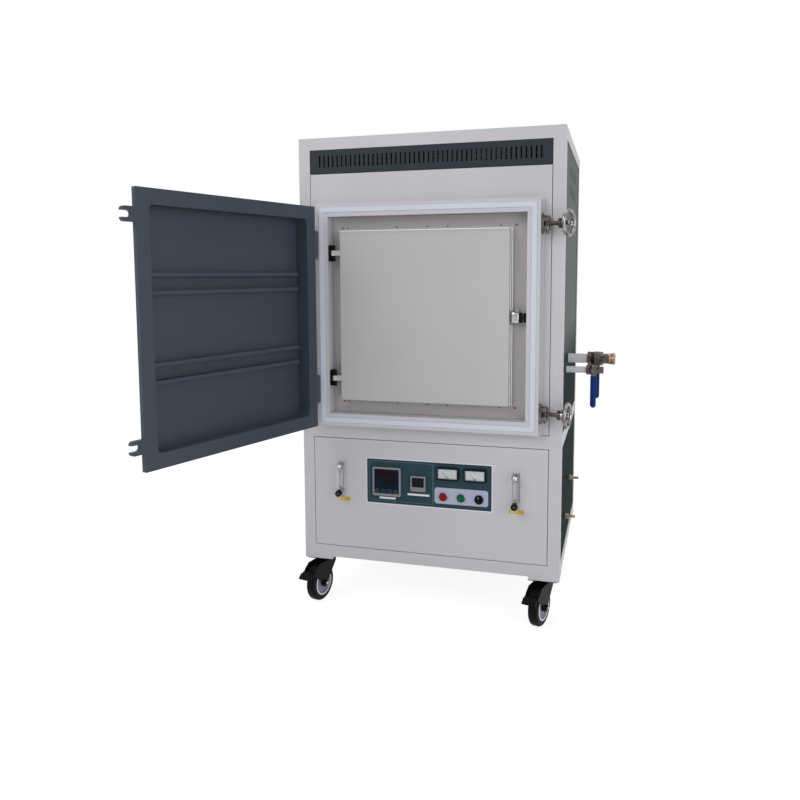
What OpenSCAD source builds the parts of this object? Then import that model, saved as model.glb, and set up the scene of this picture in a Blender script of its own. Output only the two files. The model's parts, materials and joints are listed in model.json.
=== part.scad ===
// Vacuum atmosphere furnace: a box furnace in a cabinet on casters. The heavy outer door stands
// open, the inner door is closed, and two swing bolts with handwheels hang beside the flange.
// Lengths are in millimetres. The cabinet is drawn with its front at y = 0, centred on x = 0 and
// standing on z = 0, and placed() then moves the origin to the middle of the footprint.

/* [Cabinet] */
// Width of the cabinet
cab_w = 860; // [850:5:920]
// Depth of the cabinet
cab_d = 760; // [740:5:860]
// Height of the cabinet body above its foot pads
cab_h = 1400; // [1380:5:1480]
// Side of the square frame tube
post_w = 38; // [34:1:40]
// Wall of the frame tube
tube_wall = 2.5; // [2:0.5:4]
// Height of the top rails
top_rail_h = 38; // [34:1:44]
// Height of the rails between the chamber bay and the control bay
mid_rail_h = 42; // [36:1:46]
// Height of the foot rails
foot_rail_h = 40; // [34:1:46]
// Clear height of the control bay behind the instrument panel
control_bay_h = 375; // [365:5:400]
// Height of the slotted vent below the top rail
grille_h = 76; // [66:1:80]
// Side of the square foot pads that carry the casters
pad_w = 98; // [94:1:110]
// Thickness of the foot pads
pad_t = 10; // [6:1:14]
// Thickness of the cover sheets
sheet_t = 2; // [1.5:0.5:3]
// Gap round the front covers
panel_gap = 2; // [1:0.5:3]
// Width of one vent slot in the grille
slot_w = 5; // [4:0.5:6]
// Length of one vent slot in the grille
slot_h = 37; // [30:1:44]
// Spacing of the slots in the grille
slot_pitch = 15.2; // [14:0.2:18]

/* [Chamber] */
// Height of the chamber's middle above the mid rail
chamber_rise = 367; // [365:1:380]
// Outer width and height of the door flange
flange_w = 722; // [715:1:725]
// How far the flange stands out of the cabinet
flange_out = 32; // [30:1:36]
// Overhang of the collar round the flange's foot
collar_w = 9; // [8:1:12]
// Thickness of the collar round the flange's foot
collar_t = 12; // [8:1:12]
// Inner width and height of the steel chamber shell
shell_in = 642; // [636:1:646]
// Wall of the steel chamber shell
shell_wall = 8; // [6:1:10]
// Length of the chamber shell from its flange to its back
shell_d = 621; // [600:1:640]
// Depth from the flange face to the mouth plate
recess_d = 47; // [46:1:52]
// Thickness of the mouth plate
mouth_t = 6; // [4:1:8]
// Width and height of the heated chamber
chamber_w = 400; // [390:5:410]
// Depth of the heated chamber
chamber_d = 420; // [400:5:440]
// Width of the door seal
seal_w = 15; // [12:1:16]
// Distance from the flange's edge to the seal
seal_inset = 11; // [10:1:12]
// Depth of the groove that holds the seal
seal_groove = 3; // [2:0.5:5]
// How far the seal stands proud of the flange
seal_proud = 2; // [1:0.5:3]

/* [Outer door] */
// Width of the outer door
door_w = 700; // [696:1:702]
// Height of the outer door
door_h = 714; // [708:1:718]
// Thickness of the door's rim plate
door_t = 12; // [10:1:13]
// Width of the rim round the door's tray
rim_w = 41; // [38:1:44]
// Depth of the tray below the rim's inner face
tray_d = 45; // [42:1:50]
// Wall of the door's tray
tray_wall = 4; // [3:0.5:5]
// Angle at which the outer door stands open
door_open = 106; // [95:1:115]
// Length of the fork ears beyond the door's free edge
ear_len = 40; // [40:1:44]
// Height of a fork ear
ear_h = 38; // [35:1:42]
// Width of the slot in a fork ear
ear_slot = 17; // [15:1:18]

/* [Inner door] */
// Width and height of the inner door's pan
inner_w = 550; // [546:1:552]
// Depth of the inner door from its face to its back
inner_d = 34; // [30:1:34]
// Sheet of the inner door's pan
inner_sheet = 3; // [2:0.5:4]
// Width of the lip round the back of the inner door
lip_w = 8; // [6:1:8]
// Thickness of that lip
lip_t = 4; // [3:0.5:4]
// How far the inner door sits to the hinge side of the chamber's middle
inner_shift = 8.5; // [7:0.5:9]
// Width and height of the insulating plug behind the inner door
plug_w = 372; // [350:1:372]
// How far the plug reaches into the chamber's mouth
plug_d = 30; // [20:1:40]

/* [Clamps] */
// Distance of each clamp from the chamber's middle height
clamp_reach = 289; // [280:1:294]
// Radius of the swing bolts
bolt_r = 6; // [5.5:0.5:6]
// Travel of the thrust collar along the bolt
bolt_travel = 16; // [15:1:20]
// Radius of the handwheels
wheel_r = 41; // [40:1:46]
// Depth of the dished handwheel
wheel_dish = 27; // [26:1:34]
// Angle of the upper swing bolt in front of the cabinet's width
upper_swing = 22; // [18:1:30]
// Angle of the lower swing bolt in front of the cabinet's width
lower_swing = 11; // [8:1:30]

/* [Instruments] */
// Width of the instrument plate's window
plate_w = 418; // [416:1:426]
// Height of the instrument plate's window
plate_h = 149; // [148:1:154]
// Height of the plate's middle above the foot rail
plate_rise = 236.5; // [230:0.5:240]
// Distance of the plate's middle to the right of the cabinet's middle
plate_shift = 5; // [2:1:8]
// Bezel of the large temperature controller
controller_w = 96; // [94:1:98]
// Bezel of the small controller
small_controller_w = 50; // [48:1:52]
// Width of a panel meter
meter_w = 72; // [68:1:74]
// Height of a panel meter
meter_h = 41; // [38:1:42]
// Width of the switch plate
switch_plate_w = 176; // [170:1:178]
// Height of the switch plate
switch_plate_h = 53; // [48:1:54]
// Radius of the bezel round each switch
bezel_r = 15; // [14.5:0.5:16]
// Radius of the push buttons and the selector
button_r = 12.5; // [11:0.5:13]
// Travel of the push buttons
button_travel = 4; // [3:0.5:4]
// Height of a flow meter
flow_h = 123; // [118:1:126]
// Width of a flow meter
flow_w = 26; // [24:1:28]
// Depth of a flow meter
flow_d = 32; // [30:1:34]
// Distance of each flow meter from the cabinet's middle
flow_x = 291; // [280:1:295]

/* [Ports and valves] */
// Outer radius of the vacuum pipe
vac_r = 16; // [15:0.5:17]
// Bore radius of the vacuum pipe and valve
vac_bore = 12.5; // [11:0.5:13]
// Outer radius of the gas pipe
gas_r = 10.5; // [10:0.5:11.5]
// Bore radius of the gas pipe and valve
gas_bore = 7.5; // [6:0.5:8]
// Depth of the vacuum pipe behind the cabinet's front
vac_y = 300; // [290:5:320]
// Depth of the gas pipe behind the cabinet's front
gas_y = 200; // [190:5:205]
// Drop of the vacuum pipe below the chamber's middle
vac_drop = 153; // [140:1:160]
// Drop of the gas pipe below the chamber's middle
gas_drop = 180; // [175:1:182]
// Length of the pipes outside the cabinet
pipe_out = 62; // [55:1:70]
// Length of the vacuum valve's lever
vac_lever_l = 130; // [110:1:135]
// Length of the gas valve's lever
gas_lever_l = 120; // [100:1:125]

/* [Casters] */
// Radius of the caster wheels
roller_r = 62.5; // [58:0.5:62.5]
// Width of the caster wheels
roller_w = 32; // [28:1:34]
// Height of a caster with its plate
caster_h = 152; // [151:1:160]
// Trail of the wheel behind its swivel
trail = 35; // [28:1:36]
// Distance of the swivels from the cabinet's middle
caster_x = 377; // [372:1:379]
// Distance of the swivels from the cabinet's front and back
caster_y = 50; // [50:1:58]
// Swivel angle of the front left caster
front_left_turn = 13; // [0:1:30]
// Swivel angle of the front right caster
front_right_turn = 16; // [0:1:30]

/* [Hidden] */
$fn = 48;

// Clearances that more than one piece uses
run_gap = 0.05;     // radial clearance of a shaft in its bore
face_gap = 0.3;     // between faces of pieces that move past each other
seat_gap = 0.5;     // round a plate that is slid into its place
cut = 1;            // overrun of a cutting solid past the face it opens

// Cabinet levels
half_w = cab_w / 2;
in_w = half_w - post_w;
body_z0 = caster_h + pad_t;
body_z1 = body_z0 + cab_h;
foot_z1 = body_z0 + foot_rail_h;
mid_z0 = foot_z1 + control_bay_h;
mid_z1 = mid_z0 + mid_rail_h;
grille_z1 = body_z1 - top_rail_h;
grille_z0 = grille_z1 - grille_h;
back_y = cab_d - post_w;
slot_round = 0.3;     // share of a vent slot's width that rounds its corners
stop_w = 14;
stop_t = 3;

// Chamber
chamber_z = mid_z1 + chamber_rise;
face_y = -flange_out;
shell_out = shell_in + 2 * shell_wall;
shell_y1 = face_y + shell_d;
mouth_y = face_y + recess_d;
lining_y = mouth_y + mouth_t;
lining_w = shell_in - 2 * seat_gap;
lining_d = shell_y1 - shell_wall - lining_y - seat_gap;
cradle_w = 50;
cradle_x = 200;
collar_round = 14;
flange_round = 3;
seal_round = 12;

// Heating elements: hairpin rods that hang from the roof along both side walls
rod_r = 4.5;
rod_pairs = 3;
rod_spread = 56;
rod_wall_gap = 18;
rod_rise = 66;
rod_foot_gap = 48;
bush_r = 15;
bush_lip = 4;
bush_lip_t = 5;
bush_play = 1;
bush_bore = rod_r + bush_play;
clamp_ring_r = 11;
clamp_ring_h = 14;
lining_top = chamber_z + lining_w / 2;
shell_top = chamber_z + shell_out / 2;
rod_x = chamber_w / 2 - rod_wall_gap;

// Thermocouple and hearth
probe_r = 6;
probe_in = 45;
probe_out = 22;
probe_head_r = 20;
probe_head_l = 34;
probe_rise = 70;
hearth_share = 0.84;
hearth_t = 12;
hearth_round = 10;

// Outer door, drawn closed and then turned open about its pin
pin_ahead = 10;
pin_side = 1;
door_inset = 10;
outer_x = -flange_w / 2 + pin_side;
outer_y = face_y - pin_ahead;
door_x0 = outer_x + door_inset;
door_x1 = door_x0 + door_w;
door_y = face_y - seal_proud - face_gap;
door_drop = 5;
door_z = chamber_z - door_drop;
door_mid = (door_x0 + door_x1) / 2;
tray_w = door_w - 2 * rim_w;
tray_h = door_h - 2 * rim_w;
tray_round = 14;
rib_h = 10;
rib_d = 20;
rib_pair = 47;
rib_high = 142;
rib_low = 138;
rib_end_gap = 16;

// Outer door hinges
knuckle_r = 9;
hinge_pin_r = 5;
knuckle_h = 30;
hinge_reach = 235;
leaf_t = 8;
strap_t = 6;
strap_len = door_inset + rim_w - tray_wall - face_gap;
strap_h = 44;

// Fork ears and their swing bolts
clevis_t = collar_w;
clevis_y = face_y + (flange_out - collar_t) / 2;
lug_r = (flange_out - collar_t) / 2;
lug_t = 12;
lug_gap = 16;
clevis_h = 60;
lug_sink = 1;
clamp_x = flange_w / 2 + clevis_t + lug_r - lug_sink;
clevis_pin_r = 4;
pin_head_r = 6.5;
pin_head_t = 4;
pin_tail = 9;
eye_r = 8.5;
bolt_seat = clevis_y - door_y + door_t + seat_gap + bolt_travel;
bolt_past_seat = 38;
bolt_len = bolt_seat + bolt_past_seat;
thrust_r = 15;
thrust_l = 8;
hub_r = 11;
hub_l = 15;
rim_tube_r = 5.6;
dish_t = 4;
spoke_angle = 26;
spokes = 3;
spoke_bite = 1;
slot_root = 12;

// Inner door
inner_pin_in = 16;
inner_pin_back = 8;
inner_x = -shell_in / 2 + inner_pin_in;
inner_y = face_y + inner_pin_back;
mouth_gap = 1;
inner_back = mouth_y - mouth_gap;
inner_face = inner_back - inner_d;
inner_x0 = -inner_shift - inner_w / 2;
inner_x1 = -inner_shift + inner_w / 2;
inner_knuckle_r = 7;
inner_pin_r = 3.5;
inner_knuckle_h = 17;
inner_hinge_reach = 204;
inner_leaf_t = 4;
tab_len = 29;
tab_h = 30;
latch_x = inner_x1 + lip_w + tab_len / 2;
knob_r = 13;
knob_l = 12;
knob_neck_l = 6;
knob_neck_r = 6;
tongue_t = 4;
tongue_gap = 1;
tongue_step = 1;
tongue_w = 11;
tongue_l = 27;
latch_pin_r = 4;
strike_lip_t = 4;
strike_gap = 2;
strike_h = 28;
strike_in = 12;

// Instruments
plate_x = plate_shift;
plate_z = foot_z1 + plate_rise;
plate_t = 3;
plate_edge = 12;
window_round = 4;
controller_x_share = -0.334;
small_x_share = -0.0785;
meter_x_shares = [0.157, 0.371];
meter_z_share = 0.265;
switch_x_share = 0.263;
switch_z_share = -0.2315;
bezel_t = 9;
controller_body_d = 90;
small_body_d = 80;
body_step = 2;
meter_t = 9;
meter_body_d = 34;
meter_recess = 5;
meter_rim = 4;
meter_x = [for (share = meter_x_shares) plate_x + plate_w * share];
meter_z = plate_z + plate_h * meter_z_share;
needle_pin_r = 1.5;
needle_l_share = 0.62;
needle_w = 1;
needle_t = 1;
needle_hub_r = 3;
needle_rise = 8;
switch_x = plate_x + plate_w * switch_x_share;
switch_z = plate_z + plate_h * switch_z_share;
switch_plate_t = 2;
switch_round = 9;
switch_step = switch_plate_w / 3;
switch_drop = 3;
bezel_proud = 4;
housing_d = 34;
housing_wall = 1.6;
cap_proud = button_travel + 2;
cap_d = 16;
selector_d = 12;
grip_w = 7;

// Flow meters
flow_drop = 4.5;
flow_z = plate_z - flow_drop;
float_bore = 5;
float_r = 4.4;
float_h = 11;
float_shoulder = 8.8;
float_travel = 52;
float_foot = 32;
flow_round = 3;
flow_knob_r = 10.5;
flow_knob_l = 15;
flow_knob_rise = 25;
flutes = 12;
flute_r = 1.1;
flute_l = 12;
flow_plug_r = 8;
flow_plug_l = 5;
flow_plug_drop = 8;
flow_stem_r = 3;
flow_stem_l = 9;
flow_tail_r = 5;
flow_tail_l = 26;
flow_nut_r = 9;
flow_nut_t = 5;

// Ports, valves and fittings
vac_z = chamber_z - vac_drop;
gas_z = chamber_z - gas_drop;
weld_ring = 8;
weld_ring_t = 6;
socket_l = 10;
vac_cock_r = 19;
gas_cock_r = 12;
cock_wall = 5;
vac_hex_l = 13;
gas_hex_l = 12;
vac_tail_l = 40;
gas_tail_l = 19;
tail_step = 1;
hex_step = 1;
house_lead = 2;
house_end_share = 0.86;
house_back_share = 0.65;
stem_r = 4.5;
plug_share = 0.84;
packing_r = 9;
packing_l = 9;
lever_t = 3;
lever_w = 17;
lever_step = 1;
lever_nut_r = 7;
lever_nut_t = 6;
barb_r = 5;
barb_l = 22;
barb_bore = 3;
barb_rings = 3;
barb_ring = 1;
fitting_hex_r = 10;
fitting_hex_t = 11;
fitting_nut_t = 6;
fitting_y_shares = [0.618, 0.358];
fitting_rises = [207, 122];

// Side and back panels
side_recess = 2;
vent_rows = 2;
vent_count = 12;
vent_w = 6;
vent_h = 36;
vent_pitch = 26;
vent_drop = 70;
vent_row_pitch = 60;
hole_gap = 2;
gland_r = 14;
gland_l = 18;
gland_bore = 8;
gland_x_share = 0.3;
gland_rise = 60;

// Transformer and wiring bay
core_w = 200;
core_d = 90;
core_h = 170;
core_leg_share = 0.2;
coil_gap = 4;
coil_share = 0.42;

// Casters
caster_plate_w = 92;
caster_plate_t = 4;
race_r = 30;
race_h = 10;
kingpin_r = 6;
kingpin_nut_r = 11;
kingpin_nut_t = 4;
crown_t = 6;
crown_z1 = caster_h - caster_plate_t - race_h - face_gap;
crown_z0 = crown_z1 - crown_t;
fork_gap = 4;
fork_t = 3;
fork_in = roller_w / 2 + fork_gap;
hood_gap = 3;
hood_t = 3;
hood_from = 46;
hood_to = 118;
axle_r = 5;
axle_head_r = 9;
axle_head_t = 5;
axle_boss_r = 15;
boss_reach = 13.5;
cheek_reach = 59.4;
cheek_top = 34.4;
cheek_drop = 12;
cheek_front_drop = 10;
pedal_pin_r = 3;
pedal_at = 80;
pedal_turn = 36;
pedal_boss_r = 6;
pedal_len = 26;
pedal_w = 46;
pedal_t = 5;
pedal_drop = 12;
rear_left_turn = -12;
rear_right_turn = 8;
tread_round = 9;
hub_face_r = 44;
hub_dish = 6;
hub_boss_r = 14;
hub_rim_w = 5;

// Places that several modules share
flow_port_low = flow_z - flow_h / 2 + flow_knob_rise;
flow_port_high = flow_z + flow_h / 2 - flow_plug_drop;
float_z0 = flow_z - flow_h / 2 + float_foot;
needle_rest = 45;
pedal_y = -trail - pedal_at * cos(pedal_turn);
pedal_z = roller_r + pedal_at * sin(pedal_turn);
caster_back = cab_d - caster_y;
caster_spots = [[-caster_x, caster_y, front_left_turn], [caster_x, caster_y, front_right_turn],
                [-caster_x, caster_back, rear_left_turn], [caster_x, caster_back, rear_right_turn]];

// Footprint with the outer door as it stands open, which the origin is the middle of
reach_u = door_inset + door_w - rim_w + tray_wall;
x_low = outer_x + reach_u * cos(door_open) - (tray_d + tray_wall) * sin(door_open)
        + (door_y - outer_y) * sin(door_open);
x_high = half_w + pipe_out + vac_hex_l + 2 * vac_cock_r + vac_tail_l;
y_low = outer_y - (door_inset + door_w + ear_len) * sin(door_open);
y_high = cab_d + gland_l;
origin_x = (x_low + x_high) / 2;
origin_y = (y_low + y_high) / 2;

function rod_y_at(i) = lining_y + chamber_d * (i + 0.5) / rod_pairs;
function fitting_y(i) = cab_d * fitting_y_shares[i];
function fitting_z(i) = body_z0 + fitting_rises[i];

module placed() { translate([-origin_x, -origin_y, 0]) children(); }

// A rectangle with round corners, centred
module round_rect(w, h, r) {
    square([w - 2 * r, h], center = true);
    square([w, h - 2 * r], center = true);
    for (x = [-1, 1], y = [-1, 1]) translate([x * (w / 2 - r), y * (h / 2 - r)]) circle(r);
}

// An upright slab, centred on x and z, that runs from y = 0 backwards
module slab(w, h, t, r = 0) {
    translate([0, t, 0]) rotate([90, 0, 0]) linear_extrude(t)
        if (r > 0) round_rect(w, h, r); else square([w, h], center = true);
}

// A box from its low corner to its high corner
module span(low, high) { translate(low) cube(high - low); }

// Rods along each axis, starting at a point
module rod_x(p, r, l) { translate(p) rotate([0, 90, 0]) cylinder(r = r, h = l); }
module rod_y(p, r, l) { translate(p) rotate([-90, 0, 0]) cylinder(r = r, h = l); }
module rod_z(p, r, l) { translate(p) cylinder(r = r, h = l); }

// A hexagon bar along x, with its corners at radius r
module hex_x(p, r, l) { translate(p) rotate([0, 90, 0]) cylinder(r = r, h = l, $fn = 6); }
module hex_y(p, r, l) { translate(p) rotate([-90, 0, 0]) cylinder(r = r, h = l, $fn = 6); }

// Frame of square tube with foot pads and the beams that carry the chamber
module tube_bar(low, high, inset) {
    difference() {
        span(low, high);
        span(low + inset, high - inset);
    }
}

module frame() {
    wall = tube_wall;
    color("lightgray") placed() {
        for (x = [-half_w, in_w], y = [0, back_y])
            tube_bar([x, y, body_z0], [x + post_w, y + post_w, body_z1], [wall, wall, wall]);
        for (level = [[body_z0, foot_rail_h], [mid_z0, mid_rail_h], [grille_z1, top_rail_h]]) {
            for (y = [0, back_y])
                tube_bar([-in_w, y, level[0]], [in_w, y + post_w, level[0] + level[1]],
                         [0, wall, wall]);
            for (x = [-half_w, in_w])
                tube_bar([x, post_w, level[0]], [x + post_w, back_y, level[0] + level[1]],
                         [wall, 0, wall]);
        }
        for (x = [-half_w, half_w - pad_w], y = [0, cab_d - pad_w])
            span([x, y, body_z0 - pad_t], [x + pad_w, y + pad_w, body_z0]);
        for (x = [-in_w, in_w - stop_w], bay = [[foot_z1, mid_z0], [mid_z1, grille_z0]])
            span([x, post_w / 2, bay[0]], [x + stop_w, post_w / 2 + stop_t, bay[1]]);
        for (x = [-cradle_x, cradle_x])
            span([x - cradle_w / 2, post_w / 2 + seat_gap, mid_z1],
                 [x + cradle_w / 2, cab_d - sheet_t - seat_gap, chamber_z - shell_out / 2]);
    }
}

module roof_and_floor_pans() {
    color("gainsboro") placed() for (z = [body_z0, body_z1 - sheet_t])
        span([-in_w, post_w, z], [in_w, back_y, z + sheet_t]);
}

module vent_slots(count, pitch, w, h) {
    for (i = [0 : count - 1]) translate([(i - (count - 1) / 2) * pitch, 0, 0])
        translate([0, -cut, 0]) slab(w, h, sheet_t + 2 * cut, w * slot_round);
}

module back_panels() {
    color("darkslategray") placed() {
        difference() {
            span([-in_w, cab_d - sheet_t, mid_z1], [in_w, cab_d, grille_z1]);
            for (row = [0 : vent_rows - 1])
                translate([0, cab_d - sheet_t, grille_z1 - vent_drop - row * vent_row_pitch])
                    vent_slots(vent_count, vent_pitch, vent_w, vent_h);
        }
        difference() {
            union() {
                span([-in_w, cab_d - sheet_t, foot_z1], [in_w, cab_d, mid_z0]);
                rod_y([in_w * gland_x_share, cab_d, foot_z1 + gland_rise], gland_r, gland_l);
            }
            rod_y([in_w * gland_x_share, cab_d - sheet_t - cut, foot_z1 + gland_rise],
                  gland_bore, gland_l + sheet_t + 2 * cut);
        }
    }
}

// One side skin between the posts; the right one has the holes for the ports
module side_skin(x, z0, z1) { span([x, post_w, z0], [x + sheet_t, back_y, z1]); }

module side_vents(x) {
    for (row = [0 : vent_rows - 1])
        translate([x, cab_d / 2, grille_z1 - vent_drop - row * vent_row_pitch])
            rotate([0, 0, -90]) vent_slots(vent_count, vent_pitch, vent_w, vent_h);
}

module side_panels() {
    left = -half_w + side_recess;
    right = half_w - side_recess - sheet_t;
    color("darkslategray") placed() {
        difference() {
            side_skin(left, mid_z1, grille_z1);
            side_vents(left);
        }
        side_skin(left, foot_z1, mid_z0);
        difference() {
            side_skin(right, mid_z1, grille_z1);
            side_vents(right);
            rod_x([right - cut, vac_y, vac_z], vac_r + hole_gap, sheet_t + 2 * cut);
            rod_x([right - cut, gas_y, gas_z], gas_r + hole_gap, sheet_t + 2 * cut);
        }
        difference() {
            side_skin(right, foot_z1, mid_z0);
            for (i = [0, 1]) rod_x([right - cut, fitting_y(i), fitting_z(i)], barb_r, sheet_t + 2 * cut);
        }
    }
}

module vent_grille() {
    width = 2 * in_w;
    count = floor((width - 3 * slot_pitch) / slot_pitch);
    color("darkslategray") placed() translate([0, 0, (grille_z0 + grille_z1) / 2]) difference() {
        slab(width, grille_h, sheet_t);
        vent_slots(count, slot_pitch, slot_w, slot_h);
    }
}

// Front sheet round the chamber flange, with folded edges
module front_panel() {
    w = 2 * (in_w - panel_gap);
    h = grille_z0 - mid_z1 - 2 * panel_gap;
    fold = post_w / 2;
    color("silver") placed() difference() {
        translate([0, 0, (mid_z1 + grille_z0) / 2]) difference() {
            slab(w, h, fold);
            translate([0, sheet_t, 0]) slab(w - 2 * sheet_t, h - 2 * sheet_t, fold);
        }
        translate([0, -cut, chamber_z])
            slab(shell_out + 2 * seat_gap, shell_out + 2 * seat_gap, fold + 2 * cut);
    }
}

// Steel chamber with its door flange; the seal lies in a groove in the flange face
module seal_ring(t, spare = 0) {
    outer = flange_w - 2 * seal_inset + 2 * spare;
    inner = outer - 2 * seal_w - 4 * spare;
    difference() {
        slab(outer, outer, t, seal_round);
        translate([0, -cut, 0]) slab(inner, inner, t + 2 * cut, seal_round / 2);
    }
}

module rod_holes(r, z0, z1) {
    for (side = [-1, 1], i = [0 : rod_pairs - 1], s = [-1, 1])
        rod_z([side * rod_x, rod_y_at(i) + s * rod_spread / 2, z0], r, z1 - z0);
}

module chamber_shell() {
    collar = flange_w + 2 * collar_w;
    color("silver") placed() difference() {
        translate([0, 0, chamber_z]) {
            translate([0, -collar_t, 0]) slab(collar, collar, collar_t, collar_round);
            translate([0, face_y, 0]) slab(flange_w, flange_w, flange_out, flange_round);
            slab(shell_out, shell_out, shell_y1);
        }
        translate([0, face_y - cut, chamber_z]) slab(shell_in, shell_in, shell_d - shell_wall + cut);
        translate([0, face_y - cut, chamber_z]) seal_ring(seal_groove + cut);
        rod_holes(bush_r, chamber_z, shell_top + cut);
        rod_y([0, 0, chamber_z + probe_rise], probe_r, shell_y1 + cut);
        rod_x([0, vac_y, vac_z], vac_r, shell_out);
        rod_x([0, gas_y, gas_z], gas_r, shell_out);
    }
}

module door_seal() {
    color("lightsteelblue") placed() translate([0, face_y - seal_proud, chamber_z])
        seal_ring(seal_groove + seal_proud);
}

module mouth_plate() {
    color("gainsboro") placed() translate([0, mouth_y, chamber_z]) difference() {
        slab(lining_w, lining_w, mouth_t);
        translate([0, -cut, 0]) slab(chamber_w, chamber_w, mouth_t + 2 * cut);
    }
}

// Fibre insulation with the heated chamber, the rod holes and the port holes
module fiber_lining() {
    color("ivory") placed() difference() {
        translate([0, lining_y, chamber_z]) slab(lining_w, lining_w, lining_d);
        translate([0, lining_y - cut, chamber_z]) slab(chamber_w, chamber_w, chamber_d + cut);
        rod_holes(bush_bore, chamber_z, lining_top + cut);
        rod_y([0, lining_y, chamber_z + probe_rise], probe_r, lining_d + cut);
        rod_x([0, vac_y, vac_z], vac_bore, lining_w);
        rod_x([0, gas_y, gas_z], gas_bore, lining_w);
    }
}

// Hairpin rods with clamp rings that rest on ceramic bushes in the chamber's roof
module hairpin() {
    r = rod_spread / 2;
    foot = chamber_z - chamber_w / 2 + rod_foot_gap + r;
    top = shell_top + rod_rise;
    for (s = [-1, 1]) {
        rod_z([0, s * r, foot], rod_r, top - foot);
        rod_z([0, s * r, shell_top + bush_lip_t], clamp_ring_r, clamp_ring_h);
    }
    translate([0, 0, foot]) rotate([0, 0, 90]) rotate([-90, 0, 0])
        rotate_extrude(angle = 180) translate([r, 0]) circle(rod_r);
}

module bush() {
    difference() {
        union() {
            cylinder(r = bush_r, h = shell_top + bush_lip_t - lining_top);
            translate([0, 0, shell_top - lining_top]) cylinder(r = bush_r + bush_lip, h = bush_lip_t);
        }
        translate([0, 0, -cut]) cylinder(r = bush_bore, h = shell_top - lining_top + bush_lip_t + 2 * cut);
    }
}

module heating_elements() {
    color("dimgray") placed() for (side = [-1, 1], i = [0 : rod_pairs - 1])
        translate([side * rod_x, rod_y_at(i), 0]) {
            hairpin();
            for (s = [-1, 1]) translate([0, s * rod_spread / 2, lining_top]) bush();
        }
}

module thermocouple() {
    start = lining_y + chamber_d - probe_in;
    color("darkgray") placed() translate([0, 0, chamber_z + probe_rise]) {
        rod_y([0, start, 0], probe_r, shell_y1 + probe_out - start);
        rod_y([0, shell_y1, 0], probe_r + weld_ring, weld_ring_t);
        rod_y([0, shell_y1 + probe_out, 0], probe_head_r, probe_head_l);
    }
}

module hearth_plate() {
    w = chamber_w * hearth_share;
    color("dimgray") placed()
        translate([0, lining_y + chamber_d / 2, chamber_z - chamber_w / 2]) linear_extrude(hearth_t)
            round_rect(w, chamber_d * hearth_share, hearth_round);
}

// A row of knuckles about a pin along z: the outer two, or the middle one with its bore
module outer_knuckles(r, pin_r, h) {
    for (s = [0, 2]) rod_z([0, 0, (s - 1.5) * h], r, h);
    rod_z([0, 0, -1.5 * h], pin_r, 3 * h);
}
module middle_knuckle_bore(pin_r, h) { rod_z([0, 0, -h / 2 - cut], pin_r + run_gap, h + 2 * cut); }

// Fixed leaves of the inner door's hinges, and the strike of its latch
module inner_door_mounts() {
    wall = -shell_in / 2 - inner_x;
    h = inner_knuckle_h;
    strike_y = inner_back - lip_t - tongue_gap - tongue_t - strike_gap - strike_lip_t;
    color("black") placed() {
        for (s = [-1, 1]) translate([inner_x, inner_y, chamber_z + s * inner_hinge_reach]) {
            outer_knuckles(inner_knuckle_r, inner_pin_r, h);
            span([wall, -inner_leaf_t / 2, -1.5 * h],
                 [wall + inner_leaf_t, mouth_y - inner_y - mouth_gap, 1.5 * h]);
            for (k = [0, 2])
                span([wall, -inner_leaf_t / 2, (k - 1.5) * h], [0, inner_leaf_t / 2, (k - 0.5) * h]);
        }
        translate([shell_in / 2, strike_y, chamber_z]) {
            span([-inner_leaf_t, 0, -strike_h / 2], [0, mouth_y - strike_y, strike_h / 2]);
            span([-strike_in, 0, -strike_h / 2], [0, strike_lip_t, strike_h / 2]);
        }
    }
}

// Fixed leaves of the outer door's hinges, on the side of the flange
module outer_hinge_leaves() {
    side = -flange_w / 2 - outer_x;
    color("slategray") placed() for (s = [-1, 1])
        translate([outer_x, outer_y, door_z + s * hinge_reach]) {
            outer_knuckles(knuckle_r, hinge_pin_r, knuckle_h);
            span([side - leaf_t, -outer_y + face_y, -1.5 * knuckle_h],
                 [side, -outer_y - collar_t, 1.5 * knuckle_h]);
            for (k = [0, 2]) span([side - leaf_t, 0, (k - 1.5) * knuckle_h],
                                  [side, -outer_y + face_y, (k - 0.5) * knuckle_h]);
        }
}

// Clevises that carry the swing bolts, each with its pin
module clamp_clevises() {
    color("dimgray") placed() for (z = [door_z + clamp_reach, door_z - clamp_reach])
        translate([clamp_x, clevis_y, z]) {
            back = flange_w / 2 - clamp_x;
            span([back, -lug_r, -clevis_h / 2], [back + clevis_t, lug_r, clevis_h / 2]);
            for (s = [-1, 1]) translate([0, 0, s * (lug_gap + lug_t) / 2 - lug_t / 2]) {
                cylinder(r = lug_r, h = lug_t);
                span([back + clevis_t / 2, -lug_r, 0], [0, lug_r, lug_t]);
            }
            rod_z([0, 0, -lug_gap / 2 - lug_t - pin_tail], clevis_pin_r, lug_gap + 2 * lug_t + pin_tail);
            rod_z([0, 0, lug_gap / 2 + lug_t], pin_head_r, pin_head_t);
        }
}

// Lower front cover with the window for the instruments
module control_cover() {
    w = 2 * (in_w - panel_gap);
    h = control_bay_h - 2 * panel_gap;
    fold = post_w / 2;
    color("silver") placed() difference() {
        translate([0, 0, (foot_z1 + mid_z0) / 2]) difference() {
            slab(w, h, fold);
            translate([0, sheet_t, 0]) slab(w - 2 * sheet_t, h - 2 * sheet_t, fold);
        }
        translate([plate_x, -cut, plate_z]) slab(plate_w, plate_h, sheet_t + 2 * cut, window_round);
        for (s = [-1, 1], z = [flow_port_low, flow_port_high])
            rod_y([s * flow_x, -cut, z], flow_tail_r, sheet_t + 2 * cut);
    }
}

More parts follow.
